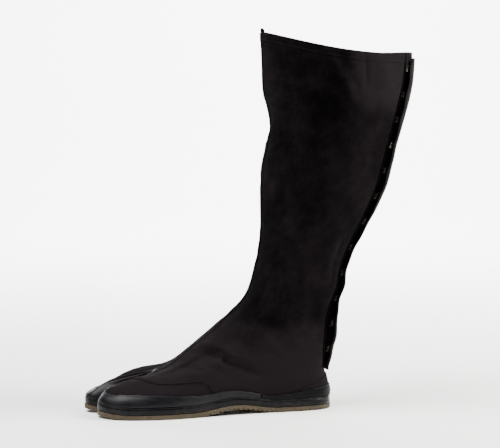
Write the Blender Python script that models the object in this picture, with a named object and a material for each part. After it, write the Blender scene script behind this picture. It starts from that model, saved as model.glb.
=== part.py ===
"""Left jika tabi: a knee-high split-toe boot of canvas on a rubber sole, for Blender 4.5.

Metres, +Z up. Toes point towards -Y and the outer side of the foot is +X. The origin is on the
floor, under the middle of the heel. One surface, skin(), has the form of the foot and the shaft;
the wall and every piece that lies on it are cut between two offsets of that surface.
"""
import math

import bmesh
import bpy
import numpy as np

# The foot
LENGTH = 0.267
BALL_WIDTH = 0.094
HEEL_WIDTH = 0.066
HEEL_REST = 0.034
INSTEP_HEIGHT = 0.084
ANKLE_HEIGHT = 0.150
ANKLE_WIDTH = 0.084
# The shaft
SHAFT_HEIGHT = 0.409
COLLAR_DROP = 0.022
COLLAR_DIP = 0.008
CALF_DEPTH = 0.170
CALF_WIDTH = 0.114
SHAFT_LEAN = 0.012
WALL = 0.002
SEAM_HEIGHT = 0.0009
# The sole
SOLE_THICKNESS = 0.005
ARCH_LIFT = 0.0055
TOE_SPRING = 0.004
TREAD_PITCH = 0.0054
TREAD_WIDTH = 0.0020
TREAD_DEPTH = 0.0015
SOLE_RIM = 0.006
INSOLE_THICKNESS = 0.003
SOLE_PROUD = 0.0004
# The rubber bands
FOXING_THICKNESS = 0.0026
FOXING_HEIGHT = 0.0135
FOXING_SET_BACK = 0.0006
GUARD_THICKNESS = 0.0017
GUARD_HEIGHT = 0.027
# The overlays and the closure
COUNTER_THICKNESS = 0.0010
COUNTER_HEIGHT = 0.038
COUNTER_ABOVE_RUBBER = 0.0012
COUNTER_LEAST = 0.003
FLAP_THICKNESS = 0.0016
LIFTED_BELOW = INSTEP_HEIGHT * 1.19
FLAP_ROOT_SHARE = 0.35
FLAP_LIFT_IN = 0.0006
FLAP_LIFT = 0.0032
FLAP_BOTTOM = 0.040
FLAP_CORNER = 0.006
FLAP_BELOW_COLLAR = 0.006
FLAP_WIDENS = 0.200
CLASP_COUNT = 12
CLASP_THICKNESS = 0.0007
CLASP_LIFT = 0.0005
CLASP_WIDTH = 0.009
CLASP_LENGTH = 0.0135
CLASP_PEEKS = 0.0025
CLASP_FIRST = 0.066
CLASP_LAST_BELOW_COLLAR = 0.017
CLEARANCE = 0.0003

# Shares of LENGTH: where the edge widens, where the arch lifts, where the toes spring
WIDENS = (0.13, 0.72)
ARCH = (0.24, 0.62)
SPRING = (0.86, 1.00)
# Places round the edge (numbers of EDGE) and ring numbers
FLAP_IN = -1.0
FLAP_EDGE = 2.05
FLAP_EDGE_LOW = 0.80
COUNTER_REACH = 2.2
GUARD_END_OUT = 3.5
GUARD_END_IN = 22.5
SEAM_START = 5.5
SEAM_REACH = 0.25
LIFTED_RINGS = 7.0
LIP = 0.06
FOOT_LINED = 6.0
# Faces and mesh
FOOT_LINES = 13
SHAFT_LINES = 13
SLICES = 20
MERGED = 1e-6

# The sole's edge, from the back round the outer side to the toes and back along the inner side.
# along: share of LENGTH. across: share of the local half width. lean: how fast the wall above
# leans in. turn: place round the shaft's oval. guard: height of the toe rubber, in GUARD_HEIGHT.
# split: how far the point belongs to the split between the toes. steps: faces to the next point.
EDGE_COLUMNS = ("name", "along", "across", "lean", "turn", "guard", "split", "steps")
EDGE = (
    ("back", 0.000, 0.00, 0.10, 0.000, 0.93, 0, 2),
    ("heel_out", 0.033, 0.70, 0.10, 0.045, 0.92, 0, 2),
    ("heel_side", 0.126, 1.00, 0.12, 0.090, 0.86, 0, 3),
    ("waist", 0.267, 0.94, 0.10, 0.140, 0.68, 0, 3),
    ("arch", 0.395, 0.92, 0.12, 0.190, 0.74, 0, 4),
    ("ball_out", 0.585, 0.98, 0.45, 0.240, 0.86, 0, 3),
    ("wide", 0.726, 1.00, 0.95, 0.290, 0.92, 0, 3),
    ("shoulder", 0.852, 0.90, 1.25, 0.340, 0.95, 0, 2),
    ("knuckle", 0.932, 0.68, 1.00, 0.385, 0.92, 0.1, 2),
    ("tip_four", 0.975, 0.33, 0.55, 0.420, 0.88, 0.4, 2),
    ("inner_four", 0.963, 0.02, 0.35, 0.450, 1.08, 0.8, 2),
    ("wall_four", 0.887, -0.085, 0.45, 0.472, 1.35, 1, 2),
    ("fork_four", 0.804, -0.115, 0.60, 0.488, 1.60, 1, 2),
    ("crotch", 0.787, -0.18, 0.50, 0.500, 1.74, 1, 2),
    ("fork_big", 0.804, -0.245, 0.60, 0.512, 1.60, 1, 2),
    ("wall_big", 0.900, -0.28, 0.70, 0.528, 1.35, 1, 2),
    ("inner_big", 0.978, -0.36, 1.00, 0.550, 1.02, 0.8, 2),
    ("tip_big", 1.000, -0.60, 1.30, 0.580, 0.86, 0.4, 2),
    ("corner_big", 0.978, -0.85, 1.20, 0.615, 0.88, 0.1, 2),
    ("side_big", 0.889, -0.99, 1.00, 0.660, 0.95, 0, 3),
    ("ball_in", 0.733, -1.00, 0.90, 0.710, 0.92, 0, 4),
    ("arch_in", 0.556, -0.80, 0.30, 0.760, 0.84, 0, 4),
    ("waist_in", 0.389, -0.70, -0.15, 0.810, 0.72, 0, 3),
    ("narrow_in", 0.241, -0.80, -0.05, 0.860, 0.70, 0, 3),
    ("heel_side_in", 0.126, -0.98, 0.12, 0.910, 0.86, 0, 2),
    ("heel_in", 0.033, -0.70, 0.10, 0.955, 0.92, 0, 2),
)
# Rings of the foot. front: share of LENGTH, rise: height at the front above the sole in
# INSTEP_HEIGHT, back: share of LENGTH, back_rise: share of ANKLE_HEIGHT, inset: share of half
# BALL_WIDTH, notch: how much of the toes' split is left, oval: from the sole's form to the
# shaft's, width: share of ANKLE_WIDTH. The feather's front, back and inset come from the foxing.
FOOT_COLUMNS = ("name", "front", "rise", "back", "back_rise", "inset", "notch", "oval", "width")
FOOT_RINGS = (
    ("feather", 1.000, 0.000, 0.000, 0.000, 0.000, 1.00, 0.00, 1.00),
    ("bulge", 0.992, 0.105, 0.006, 0.110, 0.037, 1.00, 0.00, 1.00),
    ("edge", 0.958, 0.200, 0.023, 0.230, 0.096, 1.00, 0.00, 1.00),
    ("toe_top", 0.924, 0.290, 0.017, 0.330, 0.190, 1.00, 0.00, 1.00),
    ("ridge", 0.865, 0.380, 0.007, 0.420, 0.275, 0.74, 0.00, 1.00),
    ("fork", 0.778, 0.455, -0.002, 0.490, 0.350, 0.34, 0.05, 1.00),
    ("vamp", 0.674, 0.575, -0.006, 0.565, 0.410, 0.00, 0.25, 1.00),
    ("throat", 0.592, 0.740, -0.011, 0.635, 0.430, 0.00, 0.50, 1.00),
    ("instep", 0.502, 0.955, -0.016, 0.705, 0.450, 0.00, 0.75, 1.00),
    ("bend", 0.424, 1.180, -0.028, 0.785, 0.450, 0.00, 0.95, 1.00),
)
# Rings of the shaft. level: share of SHAFT_HEIGHT at the front, drop: share of COLLAR_DROP,
# middle: share of LENGTH, depth: share of CALF_DEPTH, width: share of CALF_WIDTH, lean: share
# of SHAFT_LEAN towards the inner side, dip: share of COLLAR_DIP.
SHAFT_COLUMNS = ("name", "level", "drop", "middle", "depth", "width", "lean", "dip")
SHAFT_RINGS = (
    ("ankle", 0.303, -0.59, 0.1555, 0.635, 0.755, 0.00, 0.0),
    ("shin", 0.367, -0.27, 0.1300, 0.593, 0.765, 0.05, 0.0),
    ("low_calf", 0.435, -0.09, 0.0955, 0.620, 0.805, 0.15, 0.0),
    ("mid_calf", 0.501, 0.09, 0.0650, 0.694, 0.855, 0.30, 0.0),
    ("calf", 0.587, 0.09, 0.0280, 0.800, 0.905, 0.50, 0.0),
    ("over_calf", 0.665, 0.09, 0.0005, 0.839, 0.940, 0.65, 0.0),
    ("pinch", 0.758, 0.23, -0.0325, 0.850, 0.930, 0.80, 0.0),
    ("below_knee", 0.831, 0.23, -0.0370, 0.941, 0.990, 0.90, 0.0),
    ("knee", 0.915, 0.70, -0.0430, 0.985, 1.000, 0.95, 0.5),
    ("collar", 1.000, 1.00, -0.0455, 1.000, 1.000, 1.00, 1.0),
)


def column(table, names, name):
    """One named column of a table, as an array."""
    return np.array([row[names.index(name)] for row in table])


def columns_round(finer=1):
    """Places round the edge at which the pieces have their columns."""
    steps = column(EDGE, EDGE_COLUMNS, "steps") * finer
    return np.concatenate([place + np.arange(count) / count for place, count in enumerate(steps)])


def lines_up():
    """Ring numbers at which the wall has its lines: closer over the foot."""
    foot = np.linspace(0.0, FOOT_LINED, FOOT_LINES)
    return np.concatenate([foot, np.linspace(FOOT_LINED, TOP - 1e-6, SHAFT_LINES + 1)[1:]])


def smooth_step(x):
    """0 below 0, 1 above 1, and an even S between."""
    x = np.clip(x, 0.0, 1.0)
    return x * x * (3.0 - 2.0 * x)


def ground_lift(along):
    """Height of the tread above the floor: the arch's hump and the toes' spring."""
    share = np.asarray(along) / LENGTH
    hump = np.clip((share - ARCH[0]) / (ARCH[1] - ARCH[0]), 0.0, 1.0)
    spring = np.clip((share - SPRING[0]) / (SPRING[1] - SPRING[0]), 0.0, 1.3)
    return ARCH_LIFT * 0.5 * (1.0 - np.cos(2.0 * math.pi * hump)) + TOE_SPRING * spring ** 2


def spline_weights(x):
    """Cell, weights and slopes of a uniform cubic B-spline at each x."""
    cell = np.floor(x + 1e-9)
    f = x - cell
    weight = np.stack([(1 - f) ** 3, 3 * f ** 3 - 6 * f ** 2 + 4,
                       -3 * f ** 3 + 3 * f ** 2 + 3 * f + 1, f ** 3], -1) / 6
    slope = np.stack([-(1 - f) ** 2, 3 * f ** 2 - 4 * f, -3 * f ** 2 + 2 * f + 1, f ** 2], -1) / 2
    return cell.astype(int), weight, slope


def net_through(points):
    """Control net of the smooth surface that passes through points[ring, place]."""
    rings, places, size = points.shape
    eye = np.eye(places)
    round_way = (4 * eye + np.roll(eye, 1, 0) + np.roll(eye, -1, 0)) / 6
    net = np.linalg.solve(round_way, points.transpose(1, 0, 2).reshape(places, -1))
    net = net.reshape(places, rings, size).transpose(1, 0, 2).reshape(rings, -1)
    if rings > 1:
        upward = (4 * np.eye(rings) + np.eye(rings, k=1) + np.eye(rings, k=-1)) / 6
        upward[0] = np.eye(rings)[0]
        upward[-1] = np.eye(rings)[-1]
        net = np.linalg.solve(upward, net)
    net = net.reshape(rings, places, size)
    if rings == 1:
        return np.repeat(net, 4, 0)
    return np.concatenate([2 * net[:1] - net[1:2], net, 2 * net[-1:] - net[-2:-1]])


def evaluate(net, u, v, along_u=False, along_v=False):
    """Point, or slope, of a net's surface at place u round the edge and ring v."""
    u, v = np.broadcast_arrays(np.asarray(u, float), np.asarray(v, float))
    rings, places = net.shape[:2]
    last = rings - 3
    cell_u, weight_u, slope_u = spline_weights(u)
    cell_v, weight_v, slope_v = spline_weights(np.clip(v, 0, last - 1e-9))
    if along_u:
        weight_u = slope_u
    if along_v:
        weight_v = slope_v
    result = np.zeros(u.shape + (net.shape[2],))
    for i in range(4):
        for j in range(4):
            share = (weight_v[..., i] * weight_u[..., j])[..., None]
            result += share * net[cell_v + i, (cell_u + j - 1) % places]
    return result


def edge_points():
    """The sole's edge as (along, across) pairs, and its outward directions."""
    share = column(EDGE, EDGE_COLUMNS, "along")
    widening = np.clip((share - WIDENS[0]) / (WIDENS[1] - WIDENS[0]), 0.0, 1.0)
    half = (HEEL_WIDTH + (BALL_WIDTH - HEEL_WIDTH) * widening) / 2
    points = np.stack([share * LENGTH, column(EDGE, EDGE_COLUMNS, "across") * half], -1)
    net = net_through(points[None])
    slope = evaluate(net, np.arange(len(EDGE)), 0.0, along_u=True)
    outward = np.stack([-slope[:, 1], slope[:, 0]], -1)
    return points, outward / np.linalg.norm(outward, axis=1, keepdims=True)


def make_rings():
    """Every ring of the boot as points (along, across, height) at the edge's places."""
    points, outward = edge_points()
    lean = column(EDGE, EDGE_COLUMNS, "lean")
    turn = column(EDGE, EDGE_COLUMNS, "turn") * 2.0 * math.pi
    split = column(EDGE, EDGE_COLUMNS, "split")
    rings = []
    for number, row in enumerate(FOOT_RINGS):
        ring = dict(zip(FOOT_COLUMNS, row))
        inset = ring["inset"] * BALL_WIDTH / 2 * (np.ones(len(EDGE)) if number < 2 else lean)
        front, back = ring["front"] * LENGTH, ring["back"] * LENGTH
        if ring["name"] == "feather":
            back = FOXING_THICKNESS + CLEARANCE
            front = LENGTH - back
            inset = np.full(len(EDGE), back)
        plan = points - outward * inset[:, None]
        low, high = plan[:, 0].min(), plan[:, 0].max()
        along = back + (plan[:, 0] - low) * (front - back) / (high - low)
        across = plan[:, 1]
        oval_along = (front + back) / 2 - (front - back) / 2 * np.cos(turn)
        oval_across = ring["width"] * ANKLE_WIDTH / 2 * np.sin(turn)
        closed = 1.0 - (1.0 - ring["oval"]) * (1.0 - split * (1.0 - ring["notch"]))
        along = along + (oval_along - along) * closed
        across = across + (oval_across - across) * closed
        way = (along - back) / (front - back)
        rise = ring["back_rise"] * ANKLE_HEIGHT * (1 - way) + ring["rise"] * INSTEP_HEIGHT * way
        height = SOLE_THICKNESS + CLEARANCE + rise
        rings.append(np.stack([along, across, height], -1))
    for row in SHAFT_RINGS:
        ring = dict(zip(SHAFT_COLUMNS, row))
        middle, depth = ring["middle"] * LENGTH, ring["depth"] * CALF_DEPTH / 2
        along = middle - depth * np.cos(turn)
        across = ring["width"] * CALF_WIDTH / 2 * np.sin(turn) - ring["lean"] * SHAFT_LEAN
        way = (1.0 + np.cos(turn)) / 2
        height = ring["level"] * SHAFT_HEIGHT - ring["drop"] * COLLAR_DROP * way
        height = height - ring["dip"] * COLLAR_DIP * np.sin(turn) ** 2
        rings.append(np.stack([along, across, height], -1))
    return np.array(rings)


def to_world(points):
    """Turn (along, across, height) into X, Y and Z."""
    along, across, height = np.moveaxis(np.asarray(points), -1, 0)
    return np.stack([across, HEEL_REST - along, height], -1)


RINGS = make_rings()
TOP = len(RINGS) - 1
PLACES = len(EDGE)
SKIN_NET = net_through(to_world(RINGS))


def skin_directions():
    """Net of the outward directions, taken at the rings' own points."""
    u, v = np.meshgrid(np.arange(PLACES), np.arange(TOP + 1))
    v = np.minimum(v, TOP - 1e-6)
    outward = np.cross(evaluate(SKIN_NET, u, v, along_v=True), evaluate(SKIN_NET, u, v, along_u=True))
    return net_through(outward / np.linalg.norm(outward, axis=-1, keepdims=True))


DIRECTION_NET = skin_directions()
EDGE_NET = net_through(np.concatenate(edge_points(), -1)[None])


def skin(u, v, proud=0.0):
    """Points of the boot's form, moved outwards by proud, lifted with the sole low down."""
    points = evaluate(SKIN_NET, u, v) + np.asarray(proud)[..., None] * evaluate(DIRECTION_NET, u, v)
    follow = 1.0 - smooth_step(np.asarray(v) / LIFTED_RINGS)
    points[..., 2] += ground_lift(HEEL_REST - points[..., 1]) * follow
    return points


def over_wall(u, v, proud):
    """Points proud of the wall's own faces, which are straight between its lines."""
    lines = lines_up()
    below = np.clip(np.searchsorted(lines, v, side="right") - 1, 0, len(lines) - 2)
    share = ((v - lines[below]) / (lines[below + 1] - lines[below]))[..., None]
    return skin(u, lines[below], proud) * (1 - share) + skin(u, lines[below + 1], proud) * share


def lines_between(low, high, lip=0.0):
    """The wall's own lines between two ring numbers at each place, and a lip at each end."""
    lines = lines_up()
    inside = lines[(lines > low.min()) & (lines < high.max())][:, None]
    middle = np.clip(inside, low + lip, high - lip)
    ends = [low, low + lip] if lip else [low]
    tops = [high - lip, high] if lip else [high]
    return np.concatenate([ends, middle, tops])


def sole_edge(u, proud=0.0):
    """Points (along, across) of the sole's edge, moved outwards by proud."""
    both = evaluate(EDGE_NET, u, 0.0)
    return both[..., :2] + proud * both[..., 2:]


def ring_at(u, height, above_sole=True):
    """Ring number at which the skin reaches a height at place u."""
    tries = np.linspace(0.0, TOP - 1e-6, 600)
    found = []
    for place, wanted in zip(*np.broadcast_arrays(u, height)):
        points = skin(place, tries)
        lift = ground_lift(HEEL_REST - points[:, 1]) * (wanted < LIFTED_BELOW) * above_sole
        found.append(np.interp(wanted, points[:, 2] - lift, tries))
    return np.array(found)


def guard_height(u):
    """Height of the rubber's upper edge at place u."""
    heights = column(EDGE, EDGE_COLUMNS, "guard") * GUARD_HEIGHT
    return evaluate(net_through(heights[None, :, None]), u, 0.0)[..., 0]


def new_object(name, mesh, material, collection):
    """Link a mesh to its collection with its own material."""
    mesh.materials.append(material)
    thing = bpy.data.objects.new(name, mesh)
    collection.objects.link(thing)
    return thing


def make_material(name, colour, roughness, metallic=0.0):
    """A plain Principled material."""
    material = bpy.data.materials.new(name)
    material.use_nodes = True
    shader = material.node_tree.nodes["Principled BSDF"]
    shader.inputs["Base Color"].default_value = (*colour, 1.0)
    shader.inputs["Roughness"].default_value = roughness
    shader.inputs["Metallic"].default_value = metallic
    return material


def closed_sheet(name, inner, outer, material, collection, ring=False):
    """Solid between two grids of points[line, place], closed at its rims."""
    lines, places = outer.shape[:2]
    number = np.arange(lines * places).reshape(lines, places)
    under = number + lines * places
    if ring:
        number = np.concatenate([number, number[:, :1]], 1)
        under = np.concatenate([under, under[:, :1]], 1)

    def strip(a, b):
        return np.stack([a[:-1], a[1:], b[1:], b[:-1]], -1).reshape(-1, 4)

    faces = [np.stack([number[:-1, :-1], number[1:, :-1], number[1:, 1:], number[:-1, 1:]], -1)]
    faces.append(np.stack([under[:-1, :-1], under[:-1, 1:], under[1:, 1:], under[1:, :-1]], -1))
    faces = [part.reshape(-1, 4) for part in faces]
    faces.append(strip(number[0], under[0]))
    faces.append(strip(under[-1], number[-1]))
    if not ring:
        faces.append(strip(under[:, 0], number[:, 0]))
        faces.append(strip(number[:, -1], under[:, -1]))
    vertices = np.concatenate([outer.reshape(-1, 3), inner.reshape(-1, 3)])
    mesh = bpy.data.meshes.new(name)
    mesh.from_pydata(vertices.tolist(), [], np.concatenate(faces).tolist())
    body = bmesh.new()
    body.from_mesh(mesh)
    bmesh.ops.remove_doubles(body, verts=body.verts, dist=MERGED)
    bmesh.ops.dissolve_degenerate(body, edges=body.edges, dist=MERGED)
    bmesh.ops.recalc_face_normals(body, faces=body.faces)
    body.to_mesh(mesh)
    body.free()
    mesh.shade_smooth()
    mesh.set_sharp_from_angle(angle=math.radians(40))
    return new_object(name, mesh, material, collection)


def make_upper(material, collection):
    """Foot and shaft in one wall, with the raised seam up the front."""
    u = columns_round()
    v = lines_up()[:, None] * np.ones(len(u))
    u = u * np.ones_like(v)
    crotch = column(EDGE, EDGE_COLUMNS, "name").tolist().index("crotch")
    seam = (np.abs(u - crotch) < SEAM_REACH) * smooth_step((v - SEAM_START) / 1.0)
    outer = skin(u, v, SEAM_HEIGHT * seam)
    inner = skin(u, v, np.full(u.shape, -WALL))
    return closed_sheet("upper", inner, outer, material, collection, ring=True)


def make_foxing(material, collection):
    """Lower rubber band: on the outsole, round both lobes and into the split."""
    u = columns_round()
    top = ring_at(u, np.full(u.shape, FOXING_HEIGHT))
    inner = skin(u, np.stack([top * 0, top / 2, top]), CLEARANCE)
    outer = []
    for share, back in ((0.0, 0.0), (0.75, 0.0), (1.0, FOXING_SET_BACK)):
        along, across = np.moveaxis(sole_edge(u, -back), -1, 0)
        floor = ground_lift(along) + SOLE_THICKNESS + CLEARANCE
        height = floor + (inner[2, :, 2] - floor) * share
        outer.append(to_world(np.stack([along, across, height], -1)))
    return closed_sheet("foxing", inner, np.array(outer), material, collection, ring=True)


def make_band(name, u, low, high, material, collection):
    """Rubber strip on the skin, between two ring numbers at each place, thinner at its lips."""
    v = lines_between(low, high, LIP)
    lips = np.ones_like(v)
    lips[[0, -1]] = 0.5
    inner = over_wall(u * np.ones_like(v), v, np.full(v.shape, CLEARANCE))
    outer = over_wall(u * np.ones_like(v), v, CLEARANCE + GUARD_THICKNESS * lips)
    return closed_sheet(name, inner, outer, material, collection)


def make_guards(materials, collection):
    """Upper rubber strips: one round the toes and up the split, one round the heel."""
    joint = CLEARANCE / (0.12 * LENGTH)
    places = np.concatenate([columns_round() - PLACES, columns_round()])
    toe = places[(places > GUARD_END_OUT) & (places < GUARD_END_IN)]
    toe = np.concatenate([[GUARD_END_OUT], toe, [GUARD_END_IN]])
    start, end = GUARD_END_IN - PLACES + joint, GUARD_END_OUT - joint
    heel = places[(places > start + joint) & (places < end - joint)]
    heel = np.concatenate([[start], heel, [end]])
    for name, u in (("toe_guard", toe), ("heel_guard", heel)):
        low = ring_at(u, np.full(u.shape, FOXING_HEIGHT + CLEARANCE))
        high = ring_at(u, guard_height(u))
        make_band(name, u, low, high, materials[name], collection)


def make_counter(material, collection):
    """Canvas patch over the heel's back, sloping down on both sides to the rubber."""
    places = np.concatenate([columns_round() - PLACES, columns_round()])
    u = places[np.abs(places) <= COUNTER_REACH]
    reach = np.abs(u) / COUNTER_REACH
    foot = guard_height(u) + COUNTER_ABOVE_RUBBER
    top = np.maximum(foot + COUNTER_LEAST, COUNTER_HEIGHT - (COUNTER_HEIGHT - foot) * reach ** 1.6)
    low, high = ring_at(u, foot), ring_at(u, top)
    v = lines_between(low, high)
    u = u * np.ones_like(v)
    inner = over_wall(u, v, np.full(v.shape, CLEARANCE))
    outer = over_wall(u, v, np.full(v.shape, CLEARANCE + COUNTER_THICKNESS))
    return closed_sheet("heel_counter", inner, outer, material, collection)


def collar_ring(u, below):
    """Ring number at a distance below the collar."""
    return ring_at(u, skin(u, TOP - 1e-6)[..., 2] - below, above_sole=False)


def flap_edge(height):
    """Place round the edge of the flap's free edge: nearer the back low down."""
    way = smooth_step((np.asarray(height) - FLAP_BOTTOM) / (FLAP_WIDENS - FLAP_BOTTOM))
    return FLAP_EDGE_LOW + (FLAP_EDGE - FLAP_EDGE_LOW) * way


def make_flap(material, collection):
    """Outer overlap of the back opening, lifted at its free edge by the clasps under it."""
    way = np.array([0.0, 0.17, 0.34, 0.51, 0.68, 0.84, 0.96, 1.0])
    u = FLAP_IN + (FLAP_EDGE_LOW - FLAP_IN) * way
    corner = FLAP_CORNER * smooth_step((way - 0.8) / 0.2)
    low = ring_at(u, FLAP_BOTTOM + corner, above_sole=False)
    high = collar_ring(u + (FLAP_EDGE - FLAP_EDGE_LOW) * way, FLAP_BELOW_COLLAR)
    v = lines_between(low, high)
    edge = flap_edge(skin(u * np.ones_like(v), v)[..., 2])
    u = FLAP_IN + (edge - FLAP_IN) * way
    rise = smooth_step((way - 0.3) / 0.7)
    lift = (FLAP_LIFT_IN + (FLAP_LIFT - FLAP_LIFT_IN) * rise) * np.ones_like(v)
    full = FLAP_ROOT_SHARE + (1.0 - FLAP_ROOT_SHARE) * smooth_step(way / 0.2)
    thick = FLAP_THICKNESS * full * np.ones_like(v)
    thick = thick * np.where(way > 0.99, 0.6, 1.0)
    inner, outer = over_wall(u, v, lift), over_wall(u, v, lift + thick)
    return closed_sheet("back_flap", inner, outer, material, collection)


def make_clasps(material, collection):
    """Thin metal plates, one above the other, held between the flap's edge and the wall."""
    top = skin(FLAP_EDGE, TOP - 1e-6)[2] - CLASP_LAST_BELOW_COLLAR
    for number in range(CLASP_COUNT):
        height = CLASP_FIRST + (top - CLASP_FIRST) * number / (CLASP_COUNT - 1)
        edge = float(flap_edge(height))
        v = ring_at([edge] * 2, height + np.array([-0.5, 0.5]) * CLASP_WIDTH, above_sole=False)
        width = np.linalg.norm(skin(edge + 0.1, v[0]) - skin(edge - 0.1, v[0])) / 0.2
        u = edge + (CLASP_PEEKS - CLASP_LENGTH * np.array([1.0, 0.55, 0.15, 0.0])) / width
        narrow = np.array([1.0, 1.0, 0.9, 0.55])
        middle, half = v.mean(), (v[1] - v[0]) / 2
        rows = middle + half * narrow * np.array([-1.0, 0.0, 1.0])[:, None]
        places = u * np.ones_like(rows)
        inner = over_wall(places, rows, np.full(rows.shape, CLASP_LIFT))
        outer = over_wall(places, rows, np.full(rows.shape, CLASP_LIFT + CLASP_THICKNESS))
        closed_sheet(f"clasp_{number + 1:02d}", inner, outer, material, collection)


def make_slab(name, u, proud, floor, thickness, material, collection):
    """Flat piece with the sole's outline, sliced crosswise so that it follows the arch."""
    along, across = np.moveaxis(sole_edge(u, proud), -1, 0)
    plan = to_world(np.stack([along, across, 0 * along], -1))
    body = bmesh.new()
    body.faces.new([body.verts.new(point) for point in plan])
    for share in np.linspace(0.04, 0.96, SLICES):
        everything = body.verts[:] + body.edges[:] + body.faces[:]
        place = (0.0, HEEL_REST - share * LENGTH, 0.0)
        bmesh.ops.bisect_plane(body, geom=everything, plane_co=place, plane_no=(0, 1, 0), dist=1e-6)
    bmesh.ops.triangulate(body, faces=body.faces[:])
    grown = bmesh.ops.extrude_face_region(body, geom=body.faces[:])
    raised = [item for item in grown["geom"] if isinstance(item, bmesh.types.BMVert)]
    bmesh.ops.translate(body, verts=raised, vec=(0.0, 0.0, thickness))
    for vertex in body.verts:
        vertex.co.z += floor + float(ground_lift(HEEL_REST - vertex.co.y))
    bmesh.ops.recalc_face_normals(body, faces=body.faces)
    mesh = bpy.data.meshes.new(name)
    body.to_mesh(mesh)
    body.free()
    return new_object(name, mesh, material, collection)


def crossings(along):
    """Pairs of across values at which a line over the sole meets its edge."""
    edge = sole_edge(np.linspace(0, PLACES, 520, endpoint=False))
    after = np.roll(edge, -1, 0)
    hit = (edge[:, 0] - along) * (after[:, 0] - along) < 0
    share = (along - edge[hit, 0]) / (after[hit, 0] - edge[hit, 0])
    found = np.sort(edge[hit, 1] + share * (after[hit, 1] - edge[hit, 1]))
    return found.reshape(-1, 2)


def make_outsole(material, collection, cutters):
    """Gum rubber sole: cross ribs out to the edge from heel to arch, and within a rim in front."""
    u = columns_round(2)
    sole = make_slab("outsole", u, SOLE_PROUD, 0.0, SOLE_THICKNESS, material, collection)
    body = bmesh.new()
    groove = HEEL_REST + TREAD_PITCH / 2 - 5 * TREAD_PITCH
    while groove < 0.93 * LENGTH:
        front = groove > 0.55 * LENGTH
        width = TREAD_WIDTH * (1.5 if front else 1.0)
        for low, high in crossings(groove):
            margin = -SOLE_RIM if not front else SOLE_RIM
            length = high - low - 2 * margin
            made = bmesh.ops.create_cube(body, size=1.0)["verts"]
            for vertex in made:
                vertex.co.x = vertex.co.x * length + (low + high) / 2
                vertex.co.y = vertex.co.y * width + HEEL_REST - groove
                lift = float(ground_lift(HEEL_REST - vertex.co.y))
                vertex.co.z = lift + (TREAD_DEPTH if vertex.co.z > 0 else -TREAD_DEPTH)
        groove += TREAD_PITCH * (2.0 if front else 1.0)
    mesh = bpy.data.meshes.new("grooves")
    body.to_mesh(mesh)
    body.free()
    tool = bpy.data.objects.new("grooves", mesh)
    tool.display_type = 'WIRE'
    tool.hide_render = True
    cutters.objects.link(tool)
    cut = sole.modifiers.new("grooves", 'BOOLEAN')
    cut.operation = 'DIFFERENCE'
    cut.object = tool
    return sole


def make_insole(material, collection):
    """Thin pad on the sole, inside the wall."""
    u = columns_round()
    proud = -(FOXING_THICKNESS + WALL + 3 * CLEARANCE)
    floor = SOLE_THICKNESS + CLEARANCE
    return make_slab("insole", u, proud, floor, INSOLE_THICKNESS, material, collection)


def main():
    for thing in list(bpy.data.objects):
        bpy.data.objects.remove(thing, do_unlink=True)
    scene = bpy.context.scene.collection
    collection = bpy.data.collections.new("jika_tabi")
    cutters = bpy.data.collections.new("cutters")
    scene.children.link(collection)
    scene.children.link(cutters)
    canvas = make_material("canvas", (0.012, 0.010, 0.011), 0.85)
    counter = make_material("counter_canvas", (0.013, 0.011, 0.012), 0.85)
    flap = make_material("flap_canvas", (0.014, 0.012, 0.013), 0.85)
    foxing = make_material("foxing_rubber", (0.022, 0.023, 0.026), 0.38)
    guards = {
        "toe_guard": make_material("toe_rubber", (0.024, 0.025, 0.028), 0.36),
        "heel_guard": make_material("heel_rubber", (0.023, 0.024, 0.027), 0.40),
    }
    make_upper(canvas, collection)
    make_insole(make_material("insole_cotton", (0.30, 0.27, 0.22), 0.9), collection)
    make_outsole(make_material("gum", (0.10, 0.055, 0.025), 0.6), collection, cutters)
    make_foxing(foxing, collection)
    make_guards(guards, collection)
    make_counter(counter, collection)
    make_flap(flap, collection)
    make_clasps(make_material("clasp_metal", (0.75, 0.73, 0.68), 0.3, 1.0), collection)


main()
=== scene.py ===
"""Visual model of a left jika tabi: a knee-high split-toe boot of black canvas on gum rubber.

Metres, +Z up, in the CAD's frame: toes towards -Y, outer side of the foot towards +X, the origin
on the floor under the middle of the heel.
"""
import math

import bmesh
import bpy
import numpy as np
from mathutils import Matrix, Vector


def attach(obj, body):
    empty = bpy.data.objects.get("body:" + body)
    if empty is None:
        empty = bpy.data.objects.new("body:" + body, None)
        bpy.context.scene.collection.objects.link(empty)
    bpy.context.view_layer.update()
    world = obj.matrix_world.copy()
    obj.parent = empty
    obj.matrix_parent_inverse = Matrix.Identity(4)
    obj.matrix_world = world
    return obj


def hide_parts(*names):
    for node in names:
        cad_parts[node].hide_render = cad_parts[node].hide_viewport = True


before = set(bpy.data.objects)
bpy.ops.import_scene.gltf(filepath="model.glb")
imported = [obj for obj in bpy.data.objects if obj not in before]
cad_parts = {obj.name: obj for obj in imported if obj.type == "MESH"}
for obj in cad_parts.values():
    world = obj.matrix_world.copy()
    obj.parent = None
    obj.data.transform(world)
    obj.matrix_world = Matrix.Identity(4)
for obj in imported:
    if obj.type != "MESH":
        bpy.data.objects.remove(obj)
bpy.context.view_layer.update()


# The last: the form of foot and shaft that every other piece lies on. The maker cuts and lasts
# the cloth over it; here it is one smooth surface through listed rings, the same as the CAD's.
LENGTH = 0.267
BALL_WIDTH = 0.094
HEEL_WIDTH = 0.066
HEEL_REST = 0.034
INSTEP_HEIGHT = 0.084
ANKLE_HEIGHT = 0.150
ANKLE_WIDTH = 0.084
SHAFT_HEIGHT = 0.409
COLLAR_DROP = 0.022
COLLAR_DIP = 0.008
CALF_DEPTH = 0.170
CALF_WIDTH = 0.114
SHAFT_LEAN = 0.012
SOLE_THICKNESS = 0.005
FOXING_THICKNESS = 0.0026
ARCH_LIFT = 0.0055
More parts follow.
